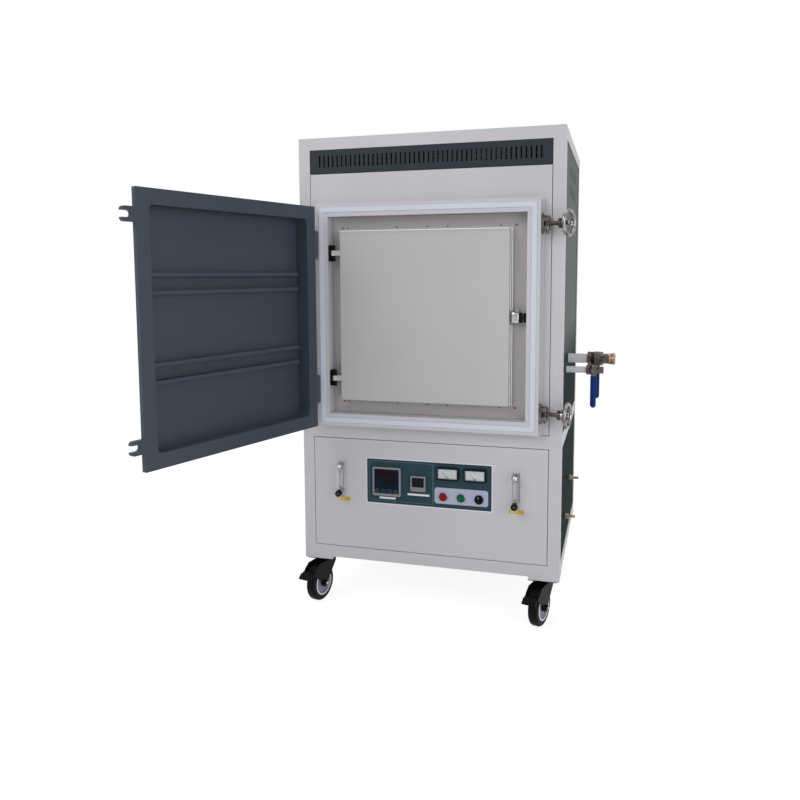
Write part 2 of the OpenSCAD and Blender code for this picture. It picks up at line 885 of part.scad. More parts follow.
module instrument_plate() {
    color("darkslategray") placed() translate([plate_x, sheet_t, plate_z]) difference() {
        slab(plate_w + 2 * plate_edge, plate_h + 2 * plate_edge, plate_t);
        translate([plate_w * controller_x_share, -cut, 0])
            slab(controller_w - 2 * body_step, controller_w - 2 * body_step, plate_t + 2 * cut);
        translate([plate_w * small_x_share, -cut, 0])
            slab(small_controller_w - 2 * body_step, small_controller_w - 2 * body_step, plate_t + 2 * cut);
        for (share = meter_x_shares) translate([plate_w * share, -cut, plate_h * meter_z_share])
            slab(meter_w - 2 * meter_rim, meter_h - 2 * meter_rim, plate_t + 2 * cut);
        for (i = [-1, 0, 1]) rod_y([plate_w * switch_x_share + i * switch_step, -cut,
                                    plate_h * switch_z_share - switch_drop],
                                   button_r + run_gap + housing_wall, plate_t + 2 * cut);
    }
}

// A panel instrument: a bezel in front of the plate and a body through it
module instrument(w, body_w, depth, r) {
    difference() {
        translate([0, -bezel_t, 0]) slab(w, w, bezel_t, r);
        translate([0, -bezel_t - cut, 0]) slab(w - 4 * r, w - 4 * r, r / 2 + cut, r / 2);
    }
    slab(body_w, body_w, depth);
}

module temperature_controllers() {
    color("gray") placed() translate([plate_x, sheet_t, plate_z]) {
        translate([plate_w * controller_x_share, 0, 0])
            instrument(controller_w, controller_w - 2 * body_step, controller_body_d, window_round);
        translate([plate_w * small_x_share, 0, 0])
            instrument(small_controller_w, small_controller_w - 2 * body_step, small_body_d,
                       window_round / 2);
    }
}

module meter_cases() {
    color("black") placed() for (x = meter_x) translate([x, sheet_t, meter_z]) {
        difference() {
            union() {
                translate([0, -meter_t, 0]) slab(meter_w, meter_h, meter_t, window_round / 2);
                slab(meter_w - 2 * meter_rim, meter_h - 2 * meter_rim, meter_body_d);
            }
            translate([0, -meter_t - cut, 0])
                slab(meter_w - 2 * meter_rim, meter_h - 2 * meter_rim, meter_recess + cut,
                     window_round / 2);
        }
        rod_y([0, -meter_t + needle_t, needle_rise - meter_h / 2], needle_pin_r, meter_recess);
    }
}

// Switch plate with the housings that the buttons slide in
module switch_plate() {
    bore = button_r + run_gap;
    color("lavender") placed() translate([switch_x, sheet_t, switch_z]) difference() {
        union() {
            translate([0, -switch_plate_t, 0])
                slab(switch_plate_w, switch_plate_h, switch_plate_t, switch_round);
            for (i = [-1, 0, 1]) {
                rod_y([i * switch_step, -switch_plate_t - bezel_proud, -switch_drop], bezel_r,
                      bezel_proud + switch_plate_t);
                rod_y([i * switch_step, -switch_plate_t, -switch_drop], bore + housing_wall,
                      housing_d + switch_plate_t);
            }
        }
        for (i = [-1, 0, 1])
            rod_y([i * switch_step, -switch_plate_t - bezel_proud - cut, -switch_drop], bore,
                  bezel_proud + switch_plate_t + housing_d - housing_wall + cut);
    }
}

// A push button: a cap with a rounded edge on a plunger
module push_button(i) {
    front = -switch_plate_t - bezel_proud - cap_proud;
    placed() translate([switch_x + i * switch_step, sheet_t + front, switch_z - switch_drop])
        rotate([-90, 0, 0]) rotate_extrude() {
            polygon([[0, 0], [button_r - cap_proud / 4, 0], [button_r, cap_proud / 4],
                     [button_r, cap_proud + cap_d], [0, cap_proud + cap_d]]);
        }
}
module stop_button() { color("firebrick") push_button(-1); }
module start_button() { color("seagreen") push_button(0); }

module selector_knob() {
    front = -switch_plate_t - bezel_proud;
    color("black") placed() translate([switch_x + switch_step, sheet_t + front, switch_z - switch_drop]) {
        rod_y([0, -cap_proud / 3, 0], button_r, cap_d);
        intersection() {
            rod_y([0, -selector_d, 0], button_r, selector_d);
            span([-grip_w / 2, -selector_d, -button_r], [grip_w / 2, 0, button_r]);
        }
    }
}

// Flow meters: a clear block with a round bore in which the float rides
module flowmeter_tubes() {
    color("whitesmoke") placed() for (s = [-1, 1]) translate([s * flow_x, 0, 0]) difference() {
        translate([0, -flow_d, flow_z]) slab(flow_w, flow_h, flow_d, flow_round);
        rod_z([0, -flow_d / 2, float_z0], float_bore, float_travel + float_h + 2 * face_gap);
        rod_y([0, -flow_d - cut, flow_port_low], flow_stem_r + run_gap, flow_stem_l + cut);
        rod_y([0, -flow_d - cut, flow_port_high], flow_stem_r, flow_stem_l + cut);
        for (z = [flow_port_low, flow_port_high])
            rod_y([0, -flow_stem_l, z], flow_tail_r, flow_stem_l + cut);
    }
}

module flowmeter_fittings() {
    color("silver") placed() for (s = [-1, 1]) translate([s * flow_x, 0, 0]) {
        rod_y([0, -flow_d - flow_plug_l, flow_port_high], flow_plug_r, flow_plug_l);
        rod_y([0, -flow_d, flow_port_high], flow_stem_r, flow_stem_l);
        for (z = [flow_port_low, flow_port_high]) {
            rod_y([0, -flow_stem_l, z], flow_tail_r, flow_stem_l + flow_tail_l);
            hex_y([0, sheet_t, z], flow_nut_r, flow_nut_t);
        }
    }
}

module flow_knob(s) {
    color("black") placed() translate([s * flow_x, -flow_d, flow_port_low]) {
        difference() {
            rod_y([0, -flow_knob_l - face_gap, 0], flow_knob_r, flow_knob_l);
            for (i = [0 : flutes - 1]) rotate([0, i * 360 / flutes, 0])
                rod_y([flow_knob_r, -flow_knob_l - face_gap - cut, 0], flute_r, flute_l);
        }
        rod_y([0, -flow_knob_l / 2, 0], flow_stem_r, flow_knob_l / 2 + flow_stem_l - face_gap);
    }
}
module left_flow_knob() { flow_knob(-1); }
module right_flow_knob() { flow_knob(1); }

module flow_float(s) {
    color("orangered") placed() translate([s * flow_x, -flow_d / 2, float_z0 + face_gap])
        rotate_extrude() polygon([[0, 0], [float_r / 2, 0], [float_r, float_h / 2],
                                  [float_r, float_shoulder], [float_r / 2, float_h], [0, float_h]]);
}
module left_float() { flow_float(-1); }
module right_float() { flow_float(1); }

// Meter needle on its pin, lying to the left as at zero
module needle(i) {
    len = meter_w / 2 * needle_l_share;
    color("black") placed()
        translate([meter_x[i], sheet_t - meter_t + needle_t, meter_z + needle_rise - meter_h / 2])
            rotate([0, -needle_rest, 0]) difference() {
                union() {
                    rod_y([0, 0, 0], needle_hub_r, needle_t);
                    span([-needle_w / 2, 0, 0], [needle_w / 2, needle_t, len]);
                }
                rod_y([0, -cut, 0], needle_pin_r + run_gap, needle_t + 2 * cut);
            }
}
module left_needle() { needle(0); }
module right_needle() { needle(1); }

// Pipes from the chamber's wall through the right side
module port_pipe(y, z, r, bore) {
    start = shell_in / 2;
    stop = half_w + pipe_out + socket_l;
    difference() {
        union() {
            rod_x([start, y, z], r, stop - start);
            rod_x([shell_out / 2, y, z], r + weld_ring, weld_ring_t);
        }
        rod_x([start - cut, y, z], bore, stop - start + 2 * cut);
    }
}
module port_pipes() {
    color("whitesmoke") placed() {
        port_pipe(vac_y, vac_z, vac_r, vac_bore);
        port_pipe(gas_y, gas_z, gas_r, gas_bore);
    }
}

// Cock valve bodies: hexagon ends, a round housing, a packing nut and a tail pipe
module valve_body(y, z, pipe_r, bore, cock_r, hex_l, tail_l, tail_r) {
    x0 = half_w + pipe_out;
    mid = x0 + hex_l + cock_r;
    house_r = cock_r + cock_wall;
    front = cock_r + house_lead;
    back = cock_r * house_back_share;
    difference() {
        union() {
            hex_x([x0, y, z], house_r - hex_step, hex_l);
            hex_x([mid + cock_r - hex_l, y, z], house_r - hex_step, hex_l);
            translate([mid, y, z]) rotate([0, 90, 0]) rotate_extrude()
                polygon([[0, -front], [house_r * house_end_share, -front], [house_r, -cock_r / 2],
                         [house_r, cock_r / 2], [house_r * house_end_share, back], [0, back]]);
            rod_x([mid + cock_r - cut, y, z], tail_r, tail_l + cut);
            rod_y([mid, y - house_r - packing_l, z], packing_r, house_r + packing_l);
        }
        rod_x([x0 - cut, y, z], pipe_r, socket_l + cut);
        rod_x([x0 - cut, y, z], bore, mid - x0 + cock_r + tail_l + 2 * cut);
        rod_y([mid, y - plug_share * cock_r - run_gap, z], plug_share * cock_r + run_gap,
              2 * (plug_share * cock_r + run_gap));
        rod_y([mid, y - house_r - packing_l - cut, z], stem_r + run_gap, house_r + packing_l + cut);
    }
}
module valve_bodies() {
    color("rosybrown") placed() {
        valve_body(vac_y, vac_z, vac_r, vac_bore, vac_cock_r, vac_hex_l, vac_tail_l,
                   vac_r + tail_step);
        valve_body(gas_y, gas_z, gas_r, gas_bore, gas_cock_r, gas_hex_l, gas_tail_l,
                   gas_r + tail_step);
    }
}

// A valve's plug, stem, nut and flat lever, which turn as one; the lever hangs down when shut
module valve_lever(y, z, bore, cock_r, hex_l, lever_l) {
    mid = half_w + pipe_out + hex_l + cock_r;
    house = cock_r + cock_wall + packing_l;
    color("navy") placed() translate([mid, y, z]) {
        difference() {
            union() {
                rod_y([0, -plug_share * cock_r, 0], plug_share * cock_r, 2 * plug_share * cock_r);
                rod_y([0, -house - face_gap - lever_t, 0], stem_r, house + face_gap + lever_t);
            }
            rod_z([0, 0, -cock_r], bore, 2 * cock_r);
        }
        translate([0, -house - face_gap - lever_t, 0]) {
            rod_y([0, 0, 0], lever_w / 2 + lever_step, lever_t);
            span([-lever_w / 2, 0, -lever_l + lever_w / 2], [lever_w / 2, lever_t, 0]);
            translate([0, lever_t, -lever_l + lever_w / 2]) rotate([90, 0, 0]) linear_extrude(lever_t)
                polygon([[-lever_w / 2, 0], [-lever_w / 4, -lever_w / 2], [lever_w / 4, -lever_w / 2],
                         [lever_w / 2, 0]]);
            hex_y([0, -lever_nut_t, 0], lever_nut_r, lever_nut_t + lever_t / 2);
        }
    }
}
module vacuum_valve_lever() {
    valve_lever(vac_y, vac_z, vac_bore, vac_cock_r, vac_hex_l, vac_lever_l);
}
module gas_valve_lever() {
    valve_lever(gas_y, gas_z, gas_bore, gas_cock_r, gas_hex_l, gas_lever_l);
}

// Brass hose fittings on the lower right side
module gas_fittings() {
    x = half_w - side_recess;
    color("darkgoldenrod") placed() for (i = [0, 1]) translate([x, fitting_y(i), fitting_z(i)])
        difference() {
            union() {
                hex_x([0, 0, 0], fitting_hex_r, fitting_hex_t);
                rod_x([fitting_hex_t, 0, 0], barb_r - barb_ring, barb_l);
                for (k = [1 : barb_rings])
                    rod_x([fitting_hex_t + barb_l * (k - 0.5) / barb_rings, 0, 0], barb_r,
                          barb_l / barb_rings / 2);
                rod_x([-sheet_t - fitting_nut_t, 0, 0], barb_r, sheet_t + fitting_nut_t);
                hex_x([-sheet_t - fitting_nut_t, 0, 0], fitting_hex_r, fitting_nut_t);
            }
            rod_x([-sheet_t - fitting_nut_t - cut, 0, 0], barb_bore,
                  sheet_t + fitting_nut_t + fitting_hex_t + barb_l + 2 * cut);
        }
}

// Transformer on the floor pan: a laminated core with two coils
module transformer() {
    leg = core_w * core_leg_share;
    window = core_h - 2 * leg;
    color("dimgray") placed() translate([0, cab_d / 2, body_z0 + sheet_t]) {
        difference() {
            span([-core_w / 2, -core_d / 2, 0], [core_w / 2, core_d / 2, core_h]);
            span([-core_w / 2 + leg, -core_d / 2 - cut, leg],
                 [core_w / 2 - leg, core_d / 2 + cut, core_h - leg]);
        }
        for (s = [-1, 1]) translate([s * (core_w - leg) / 2, 0, core_h / 2]) difference() {
            cube([leg * (1 + 2 * coil_share), core_d + 2 * leg * coil_share, window - 2 * coil_gap],
                 center = true);
            cube([leg, core_d, window], center = true);
        }
    }
}

// Outer door: drawn closed, then swung open about its pin
module opened() {
    translate([outer_x, outer_y, 0]) rotate([0, 0, -door_open]) translate([-outer_x, -outer_y, 0])
        children();
}

module outer_door() {
    color("slategray") placed() opened() {
        translate([door_mid, door_y, door_z]) {
            difference() {
                union() {
                    translate([0, -door_t, 0]) slab(door_w, door_h, door_t, flange_round);
                    translate([0, -tray_d - tray_wall, 0])
                        slab(tray_w + 2 * tray_wall, tray_h + 2 * tray_wall, tray_d + tray_wall,
                             tray_round + tray_wall);
                }
                translate([0, -tray_d, 0]) slab(tray_w, tray_h, tray_d + cut, tray_round);
            }
            for (z = [rib_high, rib_high - rib_pair, rib_pair - rib_low, -rib_low])
                span([-tray_w / 2 + rib_end_gap, -tray_d, z - rib_h / 2],
                     [tray_w / 2 - rib_end_gap, -tray_d + rib_d, z + rib_h / 2]);
        }
    }
}

// Hinge straps and fork ears on the outer door
module fork_ear() {
    root = ear_len - ear_h / 2;
    difference() {
        union() {
            span([0, -door_t, -ear_h / 2], [ear_len - ear_h / 4, 0, ear_h / 2]);
            for (s = [-1, 1])
                rod_y([ear_len - ear_h / 4, -door_t, s * ear_h / 4], ear_h / 4, door_t);
        }
        rod_y([slot_root + ear_slot / 2, -door_t - cut, 0], ear_slot / 2, door_t + 2 * cut);
        span([slot_root + ear_slot / 2, -door_t - cut, -ear_slot / 2], [ear_len + cut, cut, ear_slot / 2]);
    }
}

module outer_door_fittings() {
    strap_y = door_y - door_t - outer_y;
    h = knuckle_h - 2 * face_gap;
    color("slategray") placed() opened() {
        for (s = [-1, 1]) translate([outer_x, outer_y, door_z + s * hinge_reach]) difference() {
            union() {
                rod_z([0, 0, -h / 2], knuckle_r, h);
                span([0, strap_y - strap_t, -h / 2], [strap_len, strap_y, h / 2]);
                span([door_inset, strap_y - strap_t, -strap_h / 2], [strap_len, strap_y, strap_h / 2]);
            }
            middle_knuckle_bore(hinge_pin_r, h);
        }
        for (s = [-1, 1]) translate([door_x1, door_y, door_z + s * clamp_reach]) fork_ear();
    }
}

// Inner door: a pan with a back lip, its hinge knuckles and the tab of its latch
module inner_door() {
    h = inner_knuckle_h - 2 * face_gap;
    color("gainsboro") placed() {
        difference() {
            union() {
                translate([-inner_shift, inner_face, chamber_z])
                    slab(inner_w, inner_w, inner_d, flange_round);
                translate([-inner_shift, inner_back - lip_t, chamber_z])
                    slab(inner_w + 2 * lip_w, inner_w + 2 * lip_w, lip_t);
                span([inner_x1, inner_back - lip_t, chamber_z - tab_h / 2],
                     [inner_x1 + lip_w + tab_len, inner_back, chamber_z + tab_h / 2]);
            }
            translate([-inner_shift, inner_face + inner_sheet, chamber_z])
                slab(inner_w - 2 * inner_sheet, inner_w - 2 * inner_sheet, inner_d);
            rod_y([latch_x, inner_back - lip_t - cut, chamber_z], latch_pin_r + run_gap, lip_t + 2 * cut);
        }
        for (s = [-1, 1]) translate([inner_x, inner_y, chamber_z + s * inner_hinge_reach]) difference() {
            union() {
                rod_z([0, 0, -h / 2], inner_knuckle_r, h);
                span([0, -inner_leaf_t / 2, -h / 2], [inner_x0 - inner_x, inner_leaf_t / 2, h / 2]);
                span([inner_x0 - inner_x - inner_leaf_t, -inner_leaf_t / 2, -h / 2],
                     [inner_x0 - inner_x, inner_back - lip_t - inner_y, h / 2]);
            }
            middle_knuckle_bore(inner_pin_r, h);
        }
    }
}

module inner_door_plug() {
    core = inner_w - 2 * inner_sheet;
    color("ivory") placed() {
        translate([-inner_shift, inner_face + inner_sheet, chamber_z])
            slab(core, core, inner_d - inner_sheet);
        translate([0, inner_back, chamber_z]) slab(plug_w, plug_w, plug_d);
    }
}

// Turn knob with a tongue that goes behind the strike; the tongue stands up when it is free
module inner_latch() {
    tongue_y = inner_back - lip_t - tongue_gap - tongue_t;
    color("silver") placed() translate([latch_x, 0, chamber_z]) {
        rod_y([0, tongue_y, 0], latch_pin_r, inner_back - tongue_y);
        rod_y([0, tongue_y, 0], tongue_w / 2 + tongue_step, tongue_t);
        span([-tongue_w / 2, tongue_y, 0], [tongue_w / 2, tongue_y + tongue_t, tongue_l]);
        rod_y([0, tongue_y - knob_neck_l, 0], knob_neck_r, knob_neck_l);
        rod_y([0, tongue_y - knob_neck_l - knob_l, 0], knob_r, knob_l);
    }
}

// Swing bolts, drawn from the pivot along +x, then swung to where they hang
module swung(z, angle) {
    placed() translate([clamp_x, clevis_y, z]) rotate([0, 0, -angle]) children();
}

module swing_bolt() {
    color("dimgray") difference() {
        union() {
            rod_z([0, 0, -lug_gap / 2 + face_gap], eye_r, lug_gap - 2 * face_gap);
            rod_x([0, 0, 0], bolt_r, bolt_len);
        }
        rod_z([0, 0, -lug_gap], clevis_pin_r + run_gap, 2 * lug_gap);
    }
}

module thrust_collar() {
    color("dimgray") difference() {
        rod_x([bolt_seat, 0, 0], thrust_r, thrust_l);
        rod_x([bolt_seat - cut, 0, 0], bolt_r + run_gap, thrust_l + 2 * cut);
    }
}

// Dished handwheel: hub, three spokes cut from a cone and a round rim
module handwheel() {
    rim = wheel_r - rim_tube_r;
    color("silver") translate([bolt_seat + thrust_l + face_gap, 0, 0]) rotate([90, 0, 90]) {
        rotate_extrude() {
            translate([bolt_r + run_gap, 0]) square([hub_r - bolt_r - run_gap, hub_l]);
            translate([rim, wheel_dish - rim_tube_r]) circle(rim_tube_r);
        }
        difference() {
            rotate_extrude() polygon([[hub_r - spoke_bite, 0], [hub_r - spoke_bite, dish_t],
                                      [rim, wheel_dish - rim_tube_r + dish_t / 2],
                                      [rim, wheel_dish - rim_tube_r - dish_t / 2]]);
            for (i = [0 : spokes - 1]) rotate([0, 0, i * 360 / spokes + spoke_angle / 2])
                rotate_extrude(angle = 360 / spokes - spoke_angle)
                    translate([hub_r + spoke_bite, -cut])
                        square([rim - rim_tube_r - hub_r, wheel_dish + 2 * cut]);
        }
    }
}

module upper_swing_bolt() { swung(door_z + clamp_reach, upper_swing) swing_bolt(); }
module lower_swing_bolt() { swung(door_z - clamp_reach, lower_swing) swing_bolt(); }
module upper_thrust_collar() { swung(door_z + clamp_reach, upper_swing) thrust_collar(); }
module lower_thrust_collar() { swung(door_z - clamp_reach, lower_swing) thrust_collar(); }
module upper_handwheel() { swung(door_z + clamp_reach, upper_swing) handwheel(); }
module lower_handwheel() { swung(door_z - clamp_reach, lower_swing) handwheel(); }

// Casters: the plates, races and kingpins stay with the cabinet
module at_caster(i) {
    spot = caster_spots[i];
    placed() translate([spot[0], spot[1], 0]) rotate([0, 0, -spot[2]]) children();
}

module caster_plates() {
    color("black") for (i = [0 : 3]) at_caster(i) {
        rotate([0, 0, caster_spots[i][2]])
            span([-caster_plate_w / 2, -caster_plate_w / 2, caster_h - caster_plate_t],
                 [caster_plate_w / 2, caster_plate_w / 2, caster_h]);
        rod_z([0, 0, caster_h - caster_plate_t - race_h], race_r, race_h + caster_plate_t / 2);
        rod_z([0, 0, crown_z0 - kingpin_nut_t], kingpin_r, caster_h - crown_z0);
        rod_z([0, 0, crown_z0 - face_gap - kingpin_nut_t], kingpin_nut_r, kingpin_nut_t);
    }
}

// One fork: crown, side cheeks, the hood over the wheel and the axle; the wheel trails to -y
module fork_cheek(braked) {
    rotate([90, 0, 90]) linear_extrude(fork_t) {
        if (braked) {
            translate([pedal_y, pedal_z]) circle(pedal_boss_r);
            polygon([[pedal_y, pedal_z - pedal_boss_r], [pedal_y, pedal_z + pedal_boss_r],
                     [-trail, crown_z0], [-trail, roller_r]]);
        }
        polygon([[-trail - boss_reach, roller_r], [-trail - cheek_reach, crown_z0 - cheek_drop],
                 [-trail - cheek_top, crown_z1], [race_r, crown_z1],
                 [race_r, crown_z0 - cheek_front_drop], [-trail + boss_reach, roller_r]]);
        translate([-trail, roller_r]) circle(axle_boss_r);
    }
}

module caster_fork(braked) {
    r0 = roller_r + hood_gap;
    out = fork_in + fork_t;
    color("black") {
        difference() {
            span([-fork_in, -trail, crown_z0], [fork_in, race_r, crown_z1]);
            rod_z([0, 0, crown_z0 - cut], kingpin_r + run_gap, crown_t + 2 * cut);
        }
        for (s = [-1, 1]) translate([s > 0 ? fork_in : -fork_in - fork_t, 0, 0]) fork_cheek(braked);
        rod_x([-out - axle_head_t, -trail, roller_r], axle_r, 2 * (out + axle_head_t));
        for (s = [-1, 1])
            rod_x([s > 0 ? out : -out - axle_head_t, -trail, roller_r], axle_head_r, axle_head_t);
        translate([0, -trail, roller_r]) rotate([90, 0, 90]) translate([0, 0, -fork_in])
            rotate([0, 0, 180 - hood_to]) rotate_extrude(angle = hood_to - hood_from)
                translate([r0, 0]) square([hood_t, 2 * fork_in]);
        if (braked) rod_x([-out, pedal_y, pedal_z], pedal_pin_r, 2 * out);
    }
}

module front_left_fork() { at_caster(0) caster_fork(true); }
module front_right_fork() { at_caster(1) caster_fork(true); }
module rear_left_fork() { at_caster(2) caster_fork(false); }
module rear_right_fork() { at_caster(3) caster_fork(false); }

// Wheel: a crowned tyre on a dished hub with a raised ring
module caster_wheel() {
    half = roller_w / 2;
    color("dimgray") translate([0, -trail, roller_r]) rotate([0, 90, 0]) rotate_extrude() {
        difference() {
            translate([axle_r + run_gap, -half]) square([roller_r - axle_r - run_gap, roller_w]);
            for (s = [-1, 1]) {
                translate([roller_r - tread_round, s * (half - tread_round)]) difference() {
                    translate([0, s > 0 ? 0 : -tread_round - cut]) square(tread_round + cut);
                    circle(tread_round);
                }
                translate([hub_boss_r, s > 0 ? half - hub_dish : -half - cut])
                    square([hub_face_r - hub_rim_w - hub_boss_r, hub_dish + cut]);
            }
        }
    }
}
module front_left_wheel() { at_caster(0) caster_wheel(); }
module front_right_wheel() { at_caster(1) caster_wheel(); }
module rear_left_wheel() { at_caster(2) caster_wheel(); }
module rear_right_wheel() { at_caster(3) caster_wheel(); }

// Brake pedal on the pin between the cheeks, with a wide tread in front of them
module brake_pedal() {
    in = fork_in - face_gap;
    color("black") translate([0, pedal_y, pedal_z]) difference() {
        union() {
            rod_x([-in, 0, 0], pedal_boss_r, 2 * in);
            span([-in, -pedal_len / 2, -pedal_t / 2], [in, 0, pedal_t / 2]);
            rotate([90, 0, 90]) translate([0, 0, -pedal_w / 2]) linear_extrude(pedal_w)
                polygon([[-pedal_len / 2, -pedal_t / 2], [-pedal_len / 2, pedal_t],
                         [-pedal_len, -pedal_drop + pedal_t], [-pedal_len, -pedal_drop]]);
        }
        rod_x([-in - cut, 0, 0], pedal_pin_r + run_gap, 2 * (in + cut));
    }
}
module left_brake_pedal() { at_caster(0) brake_pedal(); }
module right_brake_pedal() { at_caster(1) brake_pedal(); }

frame();
roof_and_floor_pans();
back_panels();
side_panels();
vent_grille();
front_panel();
chamber_shell();
door_seal();
mouth_plate();
fiber_lining();
heating_elements();
thermocouple();
hearth_plate();
inner_door_mounts();
outer_hinge_leaves();
clamp_clevises();
control_cover();
instrument_plate();
temperature_controllers();
meter_cases();
switch_plate();
flowmeter_tubes();
flowmeter_fittings();
port_pipes();
valve_bodies();
gas_fittings();
caster_plates();
transformer();
outer_door();
outer_door_fittings();
inner_door();
inner_door_plug();
inner_latch();
upper_swing_bolt();
lower_swing_bolt();
upper_thrust_collar();
lower_thrust_collar();
upper_handwheel();
lower_handwheel();
vacuum_valve_lever();
gas_valve_lever();
stop_button();
start_button();
selector_knob();
left_flow_knob();
right_flow_knob();
left_float();
right_float();
left_needle();
right_needle();
front_left_fork();
front_right_fork();
rear_left_fork();
rear_right_fork();
front_left_wheel();
front_right_wheel();
rear_left_wheel();
rear_right_wheel();
left_brake_pedal();
right_brake_pedal();
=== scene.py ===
"""Dresses the vacuum atmosphere furnace and sets up its studio and camera.

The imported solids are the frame: this script gives them their finishes and adds what is too small
or too soft for them, such as dial faces, screws, labels, keys and grips. Lengths are written in
millimetres from the middle of the cabinet's front edge on the floor, x to the right, y to the
back and z up, and become metres when a piece is placed.
"""

from __future__ import annotations

import json
import logging
import math
from dataclasses import dataclass
from enum import Enum
from typing import Sequence

import bmesh
import bpy
from mathutils import Matrix, Vector


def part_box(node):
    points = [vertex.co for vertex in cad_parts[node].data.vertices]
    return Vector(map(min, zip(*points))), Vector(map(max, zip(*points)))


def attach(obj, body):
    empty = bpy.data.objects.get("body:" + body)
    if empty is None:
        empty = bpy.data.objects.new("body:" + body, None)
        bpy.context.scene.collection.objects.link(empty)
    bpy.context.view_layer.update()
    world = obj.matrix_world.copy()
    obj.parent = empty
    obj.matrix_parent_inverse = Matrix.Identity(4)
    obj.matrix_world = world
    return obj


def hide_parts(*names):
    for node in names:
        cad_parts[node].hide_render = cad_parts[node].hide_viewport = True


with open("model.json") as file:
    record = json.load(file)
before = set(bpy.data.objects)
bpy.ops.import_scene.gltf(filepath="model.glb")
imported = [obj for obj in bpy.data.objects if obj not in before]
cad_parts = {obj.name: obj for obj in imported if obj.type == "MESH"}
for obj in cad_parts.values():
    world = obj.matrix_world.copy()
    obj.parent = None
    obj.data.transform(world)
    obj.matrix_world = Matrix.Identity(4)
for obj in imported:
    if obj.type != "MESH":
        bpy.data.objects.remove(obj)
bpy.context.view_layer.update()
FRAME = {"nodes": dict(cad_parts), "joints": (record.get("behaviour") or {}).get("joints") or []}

LOG = logging.getLogger("furnace")
METRE = 1000.0
GLOSS_RISE = (0.80, 0.95)

Point = Sequence[float]


def cabinet_datum() -> Vector:
    """Returns the middle of the cabinet's front edge on the floor, in metres."""
    low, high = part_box("frame")
    return Vector(((low.x + high.x) / 2, low.y, 0.0))


DATUM = cabinet_datum()


def where(node: str) -> tuple[Vector, Vector]:
    """Gives a CAD node's corners in cabinet millimetres.

    Args:
        node: the node's name.

    Returns:
        Its lowest and its highest corner.
    """
    low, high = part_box(node)
    return (low - DATUM) * METRE, (high - DATUM) * METRE


def middle(node: str) -> Vector:
    """Returns the middle of a CAD node's box in cabinet millimetres."""
    low, high = where(node)
    return (low + high) / 2


def joint_at(name: str) -> Vector:
    """Returns a hinge joint's place in cabinet millimetres."""
    joint = next(j for j in FRAME["joints"] if j["name"] == name)
    return (Vector(joint["pos_m"]) - DATUM) * METRE


def joint_axis(name: str) -> Vector:
    """Returns a joint's axis."""
    return Vector(next(j for j in FRAME["joints"] if j["name"] == name)["axis"])


def linear(rgb: Sequence[int]) -> tuple[float, float, float, float]:
    """Turns a screen colour into the renderer's colour.

    Args:
        rgb: red, green and blue from 0 to 255.

    Returns:
        The linear colour with an alpha of 1.
    """
    parts = [v / 255 for v in rgb]
    flat = [v / 12.92 if v <= 0.04045 else ((v + 0.055) / 1.055) ** 2.4 for v in parts]
    return (*flat, 1.0)


class Axis(Enum):
    """A direction that a round or flat piece faces."""

    FRONT = (0.0, -1.0, 0.0)
    BACK = (0.0, 1.0, 0.0)
    RIGHT = (1.0, 0.0, 0.0)
    UP = (0.0, 0.0, 1.0)


def turned(axis: Axis | Vector) -> Matrix:
    """Returns the rotation that takes +Z to an axis and keeps +X level."""
    way = Vector(axis.value) if isinstance(axis, Axis) else axis.normalized()
    across = Vector((0, 0, 1)).cross(way)
    across = Vector((1, 0, 0)) if across.length < 1e-6 else across.normalized()
    return Matrix((across, way.cross(across), way)).transposed().to_4x4()


class Signal:
    """A shader socket that takes part in Python sums."""

    def __init__(self, graph: "Graph", socket: bpy.types.NodeSocket) -> None:
        """Wraps a socket of a graph."""
        self.graph = graph
        self.socket = socket

    def _math(self, operation: str, first: object, second: object) -> "Signal":
        """Returns the result of a Math node on two values."""
        return self.graph.node("ShaderNodeMath", {"operation": operation}, {0: first, 1: second})

    def __add__(self, other: object) -> "Signal":
        """Adds a number or a signal."""
        return self._math("ADD", self, other)

    __radd__ = __add__

    def __mul__(self, other: object) -> "Signal":
        """Multiplies by a number or a signal."""
        return self._math("MULTIPLY", self, other)

    __rmul__ = __mul__

    def __sub__(self, other: object) -> "Signal":
        """Subtracts a number or a signal."""
        return self._math("SUBTRACT", self, other)

    def __rsub__(self, other: object) -> "Signal":
        """Subtracts this from a number."""
        return self._math("SUBTRACT", other, self)

    def __pow__(self, other: float) -> "Signal":
        """Raises this to a power."""
        return self._math("POWER", self, other)


